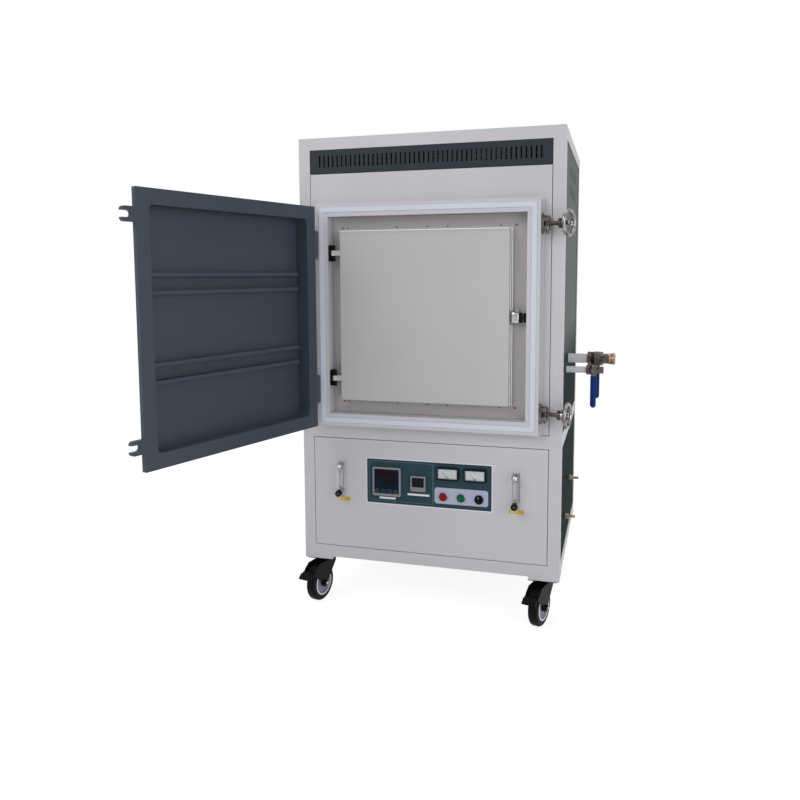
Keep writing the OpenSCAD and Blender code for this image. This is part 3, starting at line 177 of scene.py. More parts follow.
class Graph:
    """A node tree that is written in Python sums."""

    def __init__(self, tree: bpy.types.NodeTree) -> None:
        """Wraps a tree.

        Args:
            tree: the tree that takes the nodes.
        """
        self.tree = tree

    def node(self, kind: str, settings: dict | None = None, inputs: dict | None = None,
             output: int | str = 0) -> Signal:
        """Adds a node.

        Args:
            kind: the node's type.
            settings: its own settings, set before its sockets.
            inputs: values or signals for its sockets.
            output: the output socket that is returned.

        Returns:
            The output as a signal.
        """
        made = self.tree.nodes.new(kind)
        for key, value in (settings or {}).items():
            if key == "stops":
                self._stops(made, value)
            else:
                setattr(made, key, value)
        for key, value in (inputs or {}).items():
            self.feed(made.inputs[key], value)
        return Signal(self, made.outputs[output])

    def _stops(self, ramp: bpy.types.Node, stops: Sequence[tuple[float, Sequence[float]]]) -> None:
        """Sets a colour ramp's stops."""
        band = ramp.color_ramp
        while len(band.elements) < len(stops):
            band.elements.new(0.5)
        for element, (place, colour) in zip(band.elements, stops):
            element.position = place
            element.color = colour

    def feed(self, socket: bpy.types.NodeSocket, value: object) -> None:
        """Sets a socket to a value or links it to a signal."""
        if isinstance(value, Signal):
            self.tree.links.new(value.socket, socket)
        else:
            socket.default_value = value

    def noise(self, scale: float, detail: float = 3.0, stretch: Point = (1, 1, 1)) -> Signal:
        """Gives a noise pattern on object coordinates.

        Args:
            scale: how many waves a metre.
            detail: octaves of the noise.
            stretch: scale of the pattern along each axis.

        Returns:
            The noise from 0 to 1.
        """
        spot = self.node("ShaderNodeTexCoord", output="Object")
        spread = self.node("ShaderNodeMapping", inputs={"Vector": spot, "Scale": tuple(stretch)})
        return self.node("ShaderNodeTexNoise",
                         inputs={"Vector": spread, "Scale": scale, "Detail": detail})

    def rise(self, low: float, high: float) -> Signal:
        """Returns 0 below one height in metres and 1 above another."""
        spot = self.node("ShaderNodeTexCoord", output="Object")
        level = self.node("ShaderNodeSeparateXYZ", inputs={0: spot}, output="Z")
        return self.node("ShaderNodeMapRange", {"clamp": True},
                         {"Value": level, "From Min": low, "From Max": high})

    def blend(self, share: Signal | float, first: object, second: object) -> Signal:
        """Mixes two colours by a share."""
        return self.node("ShaderNodeMix", {"data_type": "RGBA"},
                         {0: share, 6: first, 7: second}, output=2)

    def bump(self, height: Signal, depth: float) -> Signal:
        """Returns a normal that follows a height in metres."""
        return self.node("ShaderNodeBump", inputs={"Height": height, "Strength": 1.0,
                                                   "Distance": depth}, output="Normal")

    def watched(self) -> Signal:
        """Returns 1 for what the camera, metal or glass sees, and 0 for plain light."""
        path = self.tree.nodes.new("ShaderNodeLightPath")
        total = (Signal(self, path.outputs["Is Camera Ray"])
                 + Signal(self, path.outputs["Is Glossy Ray"])
                 + Signal(self, path.outputs["Is Transmission Ray"]))
        return self.node("ShaderNodeMath", {"operation": "MINIMUM"}, {0: total, 1: 1.0})


class Paint(Graph):
    """The node tree of a new material with a Principled shader."""

    def __init__(self, name: str) -> None:
        """Starts the material.

        Args:
            name: the material's name.
        """
        self.material = bpy.data.materials.new(name)
        self.material.use_nodes = True
        super().__init__(self.material.node_tree)
        self.tree.nodes.clear()
        self.shader = self.tree.nodes.new("ShaderNodeBsdfPrincipled")
        self.out = self.tree.nodes.new("ShaderNodeOutputMaterial")
        self.tree.links.new(self.shader.outputs[0], self.out.inputs[0])


@dataclass(frozen=True)
class Finish:
    """A solid finish: paint, plastic, rubber, ceramic or metal.

    Attributes:
        name: the material's name.
        rgb: its screen colour.
        roughness: how matte it is.
        metallic: 1 for bare metal.
        coat: clear gloss over it.
        shine: how strongly its bare surface reflects, 0.5 for common plastic.
        tone_and_reflection_patch: how much its colour wanders over the piece, as random tone on
            paint and plastic and as painted reflection on the metals.
        patch_waves: waves a metre of that wandering.
        grain: waves a metre of its fine texture.
        relief: height of that texture in millimetres.
        stretch: scale of the texture along each axis, for brushed metal.
        high_coat: clear gloss that is added above the heights of GLOSS_RISE, in metres.
    """

    name: str
    rgb: tuple[int, int, int]
    roughness: float = 0.5
    metallic: float = 0.0
    coat: float = 0.0
    shine: float = 0.35
    tone_and_reflection_patch: float = 0.04
    patch_waves: float = 2.3
    grain: float = 900.0
    relief: float = 0.02
    stretch: tuple[float, float, float] = (1.0, 1.0, 1.0)
    high_coat: float = 0.0

    def make(self) -> bpy.types.Material:
        """Builds the material.

        Returns:
            The new material.
        """
        graph = Paint(self.name)
        base = linear(self.rgb)
        # Painted reflection: on the metal finishes the patch amount is large, and these dark and
        # light patches stand in for mirrored surroundings; on paint and plastic they are random
        # tone.
        dark = tuple(v * (1 - self.tone_and_reflection_patch) for v in base[:3]) + (1.0,)
        light = tuple(min(1.0, v * (1 + self.tone_and_reflection_patch)) for v in base[:3]) + (1.0,)
        slow = graph.noise(self.patch_waves, 4.0)
        patch_mix = graph.node("ShaderNodeMapRange", {"clamp": True},
                          {"Value": slow, "From Min": 0.32, "From Max": 0.68})
        fine = graph.noise(self.grain, 2.0, self.stretch)
        colour = graph.blend(patch_mix, dark, light)
        graph.feed(graph.shader.inputs["Base Color"], colour)
        rough = fine * 0.12 + slow * 0.08 + (self.roughness - 0.10)
        graph.feed(graph.shader.inputs["Roughness"], rough)
        graph.feed(graph.shader.inputs["Metallic"], self.metallic)
        graph.feed(graph.shader.inputs["Specular IOR Level"], self.shine)
        gloss = self.coat
        if self.high_coat:
            gloss = graph.rise(*GLOSS_RISE) * self.high_coat + self.coat
        graph.feed(graph.shader.inputs["Coat Weight"], gloss)
        graph.feed(graph.shader.inputs["Coat Roughness"], 0.12)
        if self.relief:
            bumped = graph.bump(fine, self.relief / METRE)
            graph.feed(graph.shader.inputs["Normal"], bumped)
        return graph.material


@dataclass(frozen=True)
class Clear:
    """Clear plastic or glass that lets the light through.

    Attributes:
        name: the material's name.
        rgb: its tint.
        alpha: how much of it is seen.
    """

    name: str
    rgb: tuple[int, int, int]
    alpha: float

    def make(self) -> bpy.types.Material:
        """Returns the new material."""
        graph = Paint(self.name)
        graph.feed(graph.shader.inputs["Base Color"], linear(self.rgb))
        graph.feed(graph.shader.inputs["Roughness"], 0.06)
        graph.feed(graph.shader.inputs["Alpha"], self.alpha)
        graph.feed(graph.shader.inputs["Coat Weight"], 0.6)
        return graph.material


@dataclass(frozen=True)
class Lit:
    """A small display that glows a little.

    Attributes:
        name: the material's name.
        rgb: its colour.
        glow: strength of the light.
    """

    name: str
    rgb: tuple[int, int, int]
    glow: float

    def make(self) -> bpy.types.Material:
        """Returns the new material."""
        graph = Paint(self.name)
        graph.feed(graph.shader.inputs["Base Color"], linear(self.rgb))
        graph.feed(graph.shader.inputs["Roughness"], 0.3)
        graph.feed(graph.shader.inputs["Specular IOR Level"], 0.05)
        graph.feed(graph.shader.inputs["Emission Color"], linear(self.rgb))
        graph.feed(graph.shader.inputs["Emission Strength"], self.glow)
        return graph.material


class Coat(Enum):
    """Every finish on the furnace."""

    CABINET = Finish("cabinet_enamel", (189, 187, 191), 0.42, coat=0.1, grain=700, relief=0.015)
    SIDE = Finish("side_enamel", (42, 52, 52), 0.5, coat=0.03, shine=0.0, grain=700, relief=0.01,
                  tone_and_reflection_patch=0.1, high_coat=0.19)
    VENT = Finish("vent_enamel", (42, 48, 54), 0.5, shine=0.15, grain=700, relief=0.015)
    CHAMBER = Finish("chamber_enamel", (190, 188, 194), 0.36, coat=0.2, grain=600, relief=0.01)
    MOUTH = Finish("mouth_enamel", (174, 171, 170), 0.45, grain=600, relief=0.02)
    INNER = Finish("inner_door_enamel", (180, 178, 180), 0.42, coat=0.1, grain=600, relief=0.02)
    SEAL = Finish("seal_silicone", (200, 203, 218), 0.40, coat=0.2, grain=300, relief=0.02)
    FIBRE = Finish("ceramic_fibre", (236, 233, 224), 0.95, grain=420, relief=0.4)
    ROD = Finish("silicide_rod", (62, 58, 56), 0.55, metallic=0.4, grain=500, relief=0.05)
    SHEATH = Finish("probe_sheath", (216, 208, 196), 0.7, grain=500, relief=0.05)
    HEARTH = Finish("hearth_ceramic", (128, 116, 106), 0.85, grain=350, relief=0.2)
    BLACKED = Finish("blacked_steel", (6, 6, 8), 0.45, shine=0.08, grain=800, relief=0.02)
    DOOR = Finish("door_enamel", (60, 68, 80), 0.42, shine=0.25, grain=520, relief=0.02, tone_and_reflection_patch=0.08)
    # Painted reflection: STEEL and OILED carry strong dark and light patches that stand in for
    # mirrored surroundings.
    STEEL = Finish("machined_steel", (96, 92, 90), 0.35, metallic=0.85, grain=900, relief=0.02,
                   tone_and_reflection_patch=0.45, patch_waves=60.0)
    OILED = Finish("oiled_steel", (66, 62, 60), 0.35, metallic=0.8, grain=800, relief=0.03,
                   tone_and_reflection_patch=0.45, patch_waves=60.0)
    BOARD = Finish("board_enamel", (42, 64, 73), 0.45, shine=0.1, grain=900, relief=0.01)
    BOARD_LINE = Finish("board_line", (92, 118, 126), 0.45, relief=0.0)
    CASE = Finish("case_plastic", (132, 132, 134), 0.5, shine=0.2, grain=900, relief=0.01)
    BLACK = Finish("black_plastic", (11, 12, 16), 0.35, shine=0.1, grain=900, relief=0.01)
    LILAC = Finish("switch_enamel", (166, 169, 192), 0.4, coat=0.1, grain=700, relief=0.01)
    # Painted reflection: the chrome's dark and light patches stand in for mirrored surroundings.
    CHROME = Finish("chrome", (172, 170, 170), 0.14, metallic=1.0, tone_and_reflection_patch=0.4, patch_waves=70.0,
                    grain=400, relief=0.0)
    # Painted reflection: WHEEL is darker than the other chrome and strongly patched, so it shows
    # painted dark mirrored surroundings with bright patches.
    WHEEL = Finish("wheel_chrome", (136, 133, 132), 0.16, metallic=1.0, tone_and_reflection_patch=0.6, patch_waves=42.0,
                   grain=300, relief=0.0)
    NICKEL = Finish("nickel", (168, 165, 160), 0.25, metallic=1.0, grain=400, relief=0.0)
    PIPE = Finish("pipe_enamel", (222, 222, 228), 0.4, coat=0.2, grain=600, relief=0.02)
    # Painted reflection: the valve bodies' strong dark and light patches stand in for mirrored
    # surroundings.
    VALVE = Finish("cast_stainless", (86, 78, 74), 0.38, metallic=0.75, tone_and_reflection_patch=0.6, patch_waves=55.0,
                   grain=260, relief=0.25)
    # Painted reflection: the brass's dark and light patches stand in for mirrored surroundings.
    BRASS = Finish("turned_brass", (156, 138, 112), 0.30, metallic=1.0, tone_and_reflection_patch=0.35, patch_waves=70.0,
                   grain=700, relief=0.01)
    CORE = Finish("core_varnish", (74, 74, 80), 0.5, metallic=0.3, grain=900, relief=0.05)
    GRIP = Finish("lever_dip", (14, 48, 112), 0.35, shine=0.12, grain=500, relief=0.05)
    RED = Finish("red_cap", (118, 11, 16), 0.25, shine=0.15, relief=0.0)
    GREEN = Finish("green_cap", (0, 86, 55), 0.25, shine=0.15, relief=0.0)
    FLOAT = Finish("float_black", (58, 56, 58), 0.3, relief=0.0)
    TYRE = Finish("tyre_rubber", (12, 12, 14), 0.5, shine=0.08, grain=500, relief=0.05)
    HUB = Finish("hub_plastic", (126, 130, 150), 0.4, grain=500, relief=0.02)
    RING = Finish("hub_ring", (232, 232, 240), 0.4, relief=0.0)
    PAPER = Finish("dial_paper", (196, 202, 204), 0.6, relief=0.0)
    # Painted highlight: a near-white finish for the strips that stand in for the light caught by
    # the inner door's bent edges.
    PAINTED_HIGHLIGHT = Finish("painted_highlight", (248, 248, 250), 0.3, coat=0.5, relief=0.0)
    INK = Finish("dial_ink", (34, 34, 38), 0.6, relief=0.0)
    WHITE = Finish("white_strip", (216, 216, 222), 0.5, relief=0.0)
    YELLOW = Finish("yellow_strip", (194, 160, 24), 0.45, shine=0.2, relief=0.0)
    NAVY = Finish("display_navy", (10, 26, 44), 0.2, shine=0.05, relief=0.0)
    KEY = Finish("key_cap", (14, 22, 30), 0.3, shine=0.08, relief=0.0)
    DIM_RED = Lit("display_red", (26, 12, 14), 0.1)
    DIM_GREEN = Lit("display_green", (16, 15, 17), 0.1)
    GLASS = Clear("meter_glass", (235, 240, 245), 0.12)
    ACRYLIC = Clear("acrylic", (240, 242, 246), 0.15)


class Shelf:
    """Keeps one material for each finish."""

    made: dict[Coat, bpy.types.Material] = {}

    @classmethod
    def take(cls, coat: Coat) -> bpy.types.Material:
        """Returns the material of a finish, built on its first use."""
        if coat not in cls.made:
            cls.made[coat] = coat.value.make()
        return cls.made[coat]


class Blank:
    """A mesh that is built up in cabinet millimetres."""

    def __init__(self) -> None:
        """Starts an empty mesh."""
        self.bm = bmesh.new()

    def _soften(self, verts: Sequence[bmesh.types.BMVert], radius: float, steps: int = 2) -> None:
        """Rounds the sharp edges of the shape that was just made."""
        if radius <= 0:
            return
        edges = {e for v in verts for e in v.link_edges
                 if len(e.link_faces) == 2 and e.calc_face_angle(0.0) > math.radians(40)}
        bmesh.ops.bevel(self.bm, geom=list(edges), offset=radius, segments=steps, profile=0.5,
                        affect="EDGES", material=-1, clamp_overlap=True)

    def soften_all(self, radius: float, steps: int = 2) -> None:
        """Rounds every sharp edge of the mesh."""
        self._soften(list(self.bm.verts), radius, steps)

    def block(self, low: Point, high: Point, soft: float = 0.0) -> "Blank":
        """Adds a box.

        Args:
            low: its lowest corner.
            high: its highest corner.
            soft: radius of its edges.

        Returns:
            The blank itself.
        """
        size = Vector(high) - Vector(low)
        place = Matrix.Translation((Vector(low) + Vector(high)) / 2) @ Matrix.Diagonal((*size, 1))
        made = bmesh.ops.create_cube(self.bm, size=1.0, matrix=place)
        self._soften(made["verts"], soft)
        return self

    def plate(self, centre: Point, width: float, height: float, depth: float, corner: float = 0.0,
              soft: float = 0.0) -> "Blank":
        """Adds a flat plate with round corners that faces the front.

        Args:
            centre: the middle of its back.
            width: its size across.
            height: its size upwards.
            depth: its thickness.
            corner: radius of its corners.
            soft: radius of its front edge.

        Returns:
            The blank itself.
        """
        place = Matrix.Translation(Vector(centre)) @ turned(Axis.FRONT)
        lift = Matrix.Translation((0, 0, depth / 2)) @ Matrix.Diagonal((width, height, depth, 1))
        made = bmesh.ops.create_cube(self.bm, size=1.0, matrix=place @ lift)
        way = Vector(Axis.FRONT.value)
        if corner > 0:
            edges = [e for e in {e for v in made["verts"] for e in v.link_edges}
                     if abs((e.verts[0].co - e.verts[1].co).normalized().dot(way)) > 0.99]
            bmesh.ops.bevel(self.bm, geom=edges, offset=corner, segments=5, profile=0.5,
                            affect="EDGES", material=-1)
        if soft > 0:
            top = Vector(centre).dot(way) + depth
            rim = [e for e in self.bm.edges if e.is_valid and len(e.link_faces) == 2
                   and all(abs(v.co.dot(way) - top) < 1e-4 for v in e.verts)
                   and any(abs(f.normal.dot(way)) < 0.5 for f in e.link_faces)
                   and (e.verts[0].co - Vector(centre)).length < width + height]
            bmesh.ops.bevel(self.bm, geom=rim, offset=soft, segments=2, profile=0.5,
                            affect="EDGES", material=-1)
        return self

    def rod(self, base: Point, axis: Axis | Vector, radius: float, length: float, sides: int = 32,
            soft: float = 0.0, tip: float | None = None) -> "Blank":
        """Adds a round bar or cone.

        Args:
            base: the middle of its first end.
            axis: the way it runs.
            radius: its radius.
            length: its length.
            sides: number of sides.
            soft: radius of its end edges.
            tip: radius of the far end, if it tapers.

        Returns:
            The blank itself.
        """
        place = Matrix.Translation(Vector(base)) @ turned(axis)
        lift = Matrix.Translation((0, 0, length / 2))
        made = bmesh.ops.create_cone(self.bm, cap_ends=True, segments=sides, radius1=radius,
                                     radius2=radius if tip is None else tip, depth=length,
                                     matrix=place @ lift)
        self._soften(made["verts"], soft)
        return self

    def lathe(self, base: Point, axis: Axis | Vector, outline: Sequence[tuple[float, float]],
              steps: int = 40, closed: bool = True) -> "Blank":
        """Turns an outline about an axis.

        Args:
            base: a point on the axis.
            axis: the way the axis runs.
            outline: radius and distance along the axis of each point.
            steps: number of steps round.
            closed: whether the outline's last point joins its first.

        Returns:
            The blank itself.
        """
        frame = Matrix.Translation(Vector(base)) @ turned(axis)
        verts = [self.bm.verts.new(frame @ Vector((r, 0, h))) for r, h in outline]
        pairs = list(zip(verts, verts[1:])) + ([(verts[-1], verts[0])] if closed else [])
        edges = [self.bm.edges.new(pair) for pair in pairs]
        way = (turned(axis) @ Vector((0, 0, 1))).normalized()
        bmesh.ops.spin(self.bm, geom=verts + edges, cent=Vector(base), axis=way,
                       angle=math.tau, steps=steps, use_merge=True)
        return self

    def band(self, centre: Point, width: float, height: float, rim: float, depth: float,
             corner: float = 0.0) -> "Blank":
        """Adds a rectangular ring that faces the front.

        Args:
            centre: the middle of its back.
            width: its inner width.
            height: its inner height.
            rim: the width of its band.
            depth: how far it stands out.
            corner: radius of its outer corners.

        Returns:
            The blank itself.
        """
        before = set(self.bm.faces)
        place = (Matrix.Translation(Vector(centre)) @ turned(Axis.FRONT)
                 @ Matrix.Diagonal((width + 2 * rim, height + 2 * rim, 1, 1)))
        made = bmesh.ops.create_grid(self.bm, x_segments=1, y_segments=1, size=0.5, matrix=place)
        if corner > 0:
            bmesh.ops.bevel(self.bm, geom=made["verts"], offset=corner + rim, segments=6,
                            profile=0.5, affect="VERTICES", material=-1)
        whole = [f for f in self.bm.faces if f not in before]
        bmesh.ops.inset_individual(self.bm, faces=whole, thickness=rim, use_even_offset=True)
        ring = sorted((f for f in self.bm.faces if f not in before), key=lambda f: f.calc_area())
        bmesh.ops.delete(self.bm, geom=[ring.pop()], context="FACES")
        grown = bmesh.ops.extrude_face_region(self.bm, geom=ring)
        moved = [g for g in grown["geom"] if isinstance(g, bmesh.types.BMVert)]
        bmesh.ops.translate(self.bm, verts=moved, vec=Vector((0, -depth, 0)))
        return self

    def words(self, text: str, centre: Point, height: float, depth: float = 0.05) -> "Blank":
        """Adds figures that face the front.

        Args:
            text: the figures.
            centre: the middle of the figures.
            height: their height.
            depth: their thickness.

        Returns:
            The blank itself.
        """
        curve = bpy.data.curves.new("figures", "FONT")
        curve.body = text
        curve.align_x, curve.align_y = "CENTER", "CENTER"
        curve.size = height * 1.35
        curve.extrude = depth
        curve.resolution_u = 2
        holder = bpy.data.objects.new("figures", curve)
        mesh = bpy.data.meshes.new_from_object(holder)
        mesh.transform(Matrix.Translation(Vector(centre)) @ turned(Axis.FRONT))
        self.bm.from_mesh(mesh)
        bpy.data.objects.remove(holder)
        bpy.data.meshes.remove(mesh)
        bpy.data.curves.remove(curve)
        return self

    def place(self, name: str, coat: Coat, body: str, slot: str,
              replaces: Sequence[str] = (), smooth: float = 35.0) -> bpy.types.Object:
        """Makes the finished object.

        Args:
            name: the piece's name.
            coat: its finish.
            body: the CAD body it rides on.
            slot: the record's material slot; not used.
            replaces: CAD nodes that the piece stands for.
            smooth: the angle in degrees up to which edges are shaded smooth.

        Returns:
            The new object.
        """
        bmesh.ops.remove_doubles(self.bm, verts=self.bm.verts, dist=1e-4)
        bmesh.ops.recalc_face_normals(self.bm, faces=self.bm.faces)
        self.bm.transform(Matrix.Translation(DATUM) @ Matrix.Scale(1 / METRE, 4))
        for face in self.bm.faces:
            face.smooth = True
        for edge in self.bm.edges:
            edge.smooth = edge.calc_face_angle(math.pi) < math.radians(smooth)
        mesh = bpy.data.meshes.new(name)
        self.bm.to_mesh(mesh)
        self.bm.free()
        mesh.materials.append(Shelf.take(coat))
        piece = bpy.data.objects.new(name, mesh)
        bpy.context.scene.collection.objects.link(piece)
        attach(piece, body)
        if replaces:
            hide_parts(*replaces)
        LOG.info("%s rides on %s", name, body)
        return piece


class NodePaint:
    """Gives the CAD nodes their finishes."""

    coats: dict[str, Coat] = {
        "frame": Coat.CABINET, "roof_and_floor_pans": Coat.CABINET, "back_panels": Coat.SIDE,
        "side_panels": Coat.SIDE, "vent_grille": Coat.VENT, "front_panel": Coat.CABINET,
        "chamber_shell": Coat.CHAMBER, "door_seal": Coat.SEAL, "mouth_plate": Coat.MOUTH,
        "fiber_lining": Coat.FIBRE, "heating_elements": Coat.ROD, "thermocouple": Coat.SHEATH,
        "hearth_plate": Coat.HEARTH, "inner_door_mounts": Coat.BLACKED,
        "outer_hinge_leaves": Coat.DOOR, "clamp_clevises": Coat.STEEL,
        "control_cover": Coat.CABINET, "instrument_plate": Coat.BOARD,
        "temperature_controllers": Coat.CASE, "meter_cases": Coat.BLACK,
        "switch_plate": Coat.LILAC, "flowmeter_tubes": Coat.ACRYLIC,
        "flowmeter_fittings": Coat.CHROME, "port_pipes": Coat.PIPE, "valve_bodies": Coat.VALVE,
        "gas_fittings": Coat.BRASS, "caster_plates": Coat.BLACKED, "transformer": Coat.CORE,
        "outer_door": Coat.DOOR, "outer_door_fittings": Coat.DOOR, "inner_door": Coat.INNER,
        "inner_door_plug": Coat.FIBRE, "inner_latch": Coat.CHROME, "stop_button": Coat.RED,
        "start_button": Coat.GREEN, "selector_knob": Coat.BLACK,
        "vacuum_valve_lever": Coat.STEEL, "gas_valve_lever": Coat.STEEL,
    }
    endings: dict[str, Coat] = {
        "swing_bolt": Coat.OILED, "thrust_collar": Coat.OILED, "handwheel": Coat.WHEEL,
        "flow_knob": Coat.BLACK, "float": Coat.FLOAT, "needle": Coat.INK,
        "fork": Coat.BLACKED, "wheel": Coat.TYRE, "brake_pedal": Coat.BLACKED,
    }

    def coat_of(self, node: str) -> Coat:
        """Returns the finish of a node."""
        if node in self.coats:
            return self.coats[node]
        return next(coat for ending, coat in self.endings.items() if node.endswith(ending))

    def paint(self) -> None:
        """Sets the material of every CAD node."""
        for node, piece in FRAME["nodes"].items():
            piece.data.materials.clear()
            piece.data.materials.append(Shelf.take(self.coat_of(node)))
            LOG.info("%s painted", node)


@dataclass
class Controllers:
    """The faces of the two temperature controllers.

    Attributes:
        window_rim: width of the large bezel beside its window.
        window_top: width of the bezel above the window.
        window_share: share of the bezel's height that the window takes.
        keys: number of keys below the window.
        key_r: radius of a key.
        key_share: height of the keys above the bezel's foot, as a share of the bezel.
        small_w: side of the small bezel.
        small_rim: width of the small bezel beside its window.
        small_share: share of the small bezel's height that its window takes.
    """

    window_rim: float = 5.4
    window_top: float = 5.4
    window_share: float = 0.86
    keys: int = 4
    key_r: float = 6.6
    key_share: float = 0.168
    small_w: float = 50.0
    small_rim: float = 5.0
    small_share: float = 0.62

    def __post_init__(self) -> None:
        """Finds the two bezels from the node's box."""
        low, high = where("temperature_controllers")
        self.large_w = high.z - low.z
        self.left = low.x
        self.right = high.x
        self.top = high.z
        self.bottom = low.z
        self.front = low.y

    def window(self) -> None:
        """Adds the large controller's dark window, its two displays and its lamps."""
        width = self.large_w - 2 * self.window_rim
        height = self.large_w * self.window_share
        mid_x = self.left + self.large_w / 2
        mid_z = self.top - self.window_top - height / 2
        face = self.front + 0.6
        glass = Blank().plate((mid_x, face + 0.9, mid_z), width, height, 1.6, 2.5, 0.4)
        glass.place("controller_window", Coat.NAVY, "cabinet", "controller_plastic")
        upper = Blank().plate((mid_x - 1, face - 0.6, mid_z + height * 0.28), width * 0.80,
                              height * 0.27, 0.25, 1.0)
        upper.place("controller_value", Coat.DIM_RED, "cabinet", "controller_plastic")
        lower = Blank().plate((mid_x + 8, face - 0.6, mid_z - height * 0.03), width * 0.52,
                              height * 0.22, 0.25, 1.0)
        lower.place("controller_target", Coat.DIM_GREEN, "cabinet", "controller_plastic")
        lamps = Blank()
        for i in range(3):
            lamps.rod((mid_x - width * 0.38, face - 0.6, mid_z + height * (0.06 - 0.08 * i)),
                      Axis.FRONT, 1.1, 0.3, 12)
        lamps.place("controller_lamps", Coat.DIM_GREEN, "cabinet", "controller_plastic")

    def key_row(self) -> None:
        """Adds the round keys and their pale marks."""
        caps, marks = Blank(), Blank()
        z = self.bottom + self.large_w * self.key_share
        for i in range(self.keys):
            x = self.left + self.large_w * (0.17 + 0.22 * i)
            caps.rod((x, self.front + 1.0, z), Axis.FRONT, self.key_r, 3.2, 28, 0.8)
            marks.rod((x, self.front - 2.2, z), Axis.FRONT, self.key_r * 0.3, 0.15,
                      3 if i in (1, 2) else 16)
            marks.lathe((x, self.front - 0.95, z), Axis.FRONT,
                        ((self.key_r + 0.1, 0.0), (self.key_r + 0.9, 0.0),
                         (self.key_r + 0.9, 0.4), (self.key_r + 0.1, 0.4)), 28)
        caps.place("controller_keys", Coat.KEY, "cabinet", "controller_plastic")
        marks.place("controller_key_marks", Coat.BOARD_LINE, "cabinet", "controller_plastic")

    def small_face(self) -> None:
        """Adds the small controller's window and keys."""
        mid_x = self.right - self.small_w / 2
        mid_z = (self.top + self.bottom) / 2
        width = self.small_w - 2 * self.small_rim
        height = self.small_w * self.small_share
        z = mid_z + self.small_w / 2 - self.small_rim - height / 2
        face = self.front + 0.4
        glass = Blank().plate((mid_x, face + 0.9, z), width, height, 1.4, 1.5, 0.3)
        glass.place("small_window", Coat.BLACK, "cabinet", "controller_plastic")
        shown = Blank().plate((mid_x, face - 0.4, z), width * 0.78, height * 0.62, 0.2, 1.0)
        shown.place("small_value", Coat.KEY, "cabinet", "controller_plastic")
        keys = Blank()
        for i in range(4):
            keys.plate((mid_x + width * (i - 1.5) / 4, face + 0.8, mid_z - self.small_w * 0.34),
                       width * 0.19, 4.2, 1.2, 1.0)
        keys.place("small_keys", Coat.CASE, "cabinet", "controller_plastic")

    def build(self) -> None:
        """Builds both faces."""
        self.window()
        self.key_row()
        self.small_face()


@dataclass
class Meters:
    """The dials of the two panel meters.

    Attributes:
        width: width of one case.
        rim: width of the case round the dial.
        mask: width of the black mask over the dial's edge.
        ticks: number of marks on the scale.
        scale_r: radius of the scale.
        sweep: half angle of the scale in degrees.
    """

    width: float = 72.0
    rim: float = 4.0
    mask: float = 1.8
    ticks: int = 11
    scale_r: float = 21.0
    sweep: float = 45.0

    def dial(self, side: str) -> None:
        """Adds one meter's dial, scale, figures and glass.

        Args:
            side: left or right.
        """
        low, high = where("meter_cases")
        pivot = joint_at(f"{side}_needle_swing")
        width = self.width
        height = high.z - low.z
        mid_x = low.x + width / 2 if side == "left" else high.x - width / 2
        mid_z = (low.z + high.z) / 2
        face = low.y + 5.0
        paper = Blank().plate((mid_x, face, mid_z), width - 2 * self.rim - 0.4,
                              height - 2 * self.rim - 0.4, 0.4, 1.6)
        paper.place(f"{side}_dial", Coat.PAPER, "cabinet", "black_plastic")
        ink = Blank()
        for i in range(self.ticks):
            angle = math.radians(-self.sweep + 2 * self.sweep * i / (self.ticks - 1))
            long = 3.6 if i % 5 == 0 else 2.0
            way = Vector((math.sin(angle), 0, math.cos(angle)))
            foot = Vector((pivot.x, face - 0.4, pivot.z)) + way * self.scale_r
            ink.rod(foot, way, 0.32, long, 6)
        for i, figure in enumerate(("0", "5", "10")):
            angle = math.radians(self.sweep * (i - 1) * 0.98)
            way = Vector((math.sin(angle), 0, math.cos(angle)))
            spot = Vector((pivot.x, face - 0.45, pivot.z)) + way * (self.scale_r - 3.4)
            ink.words(figure, spot, 3.0)
        ink.plate((mid_x, face - 0.35, low.z + self.rim + 3.6), 16, 0.9, 0.2)
        ink.place(f"{side}_scale", Coat.INK, "cabinet", "black_plastic")
        mask = Blank().band((mid_x, low.y + 1.8, mid_z), width - 2 * (self.rim + self.mask),
                            height - 2 * (self.rim + self.mask), self.mask - 0.1, 0.8, 0.4)
        mask.place(f"{side}_dial_mask", Coat.BLACK, "cabinet", "black_plastic")
        glass = Blank().plate((mid_x, low.y + 0.9, mid_z), width - 2 * self.rim - 0.2,
                              height - 2 * self.rim - 0.2, 0.5, 1.6)
        glass.place(f"{side}_meter_glass", Coat.GLASS, "cabinet", "clear_plastic")

    def build(self) -> None:
        """Builds both dials."""
        self.dial("left")
        self.dial("right")


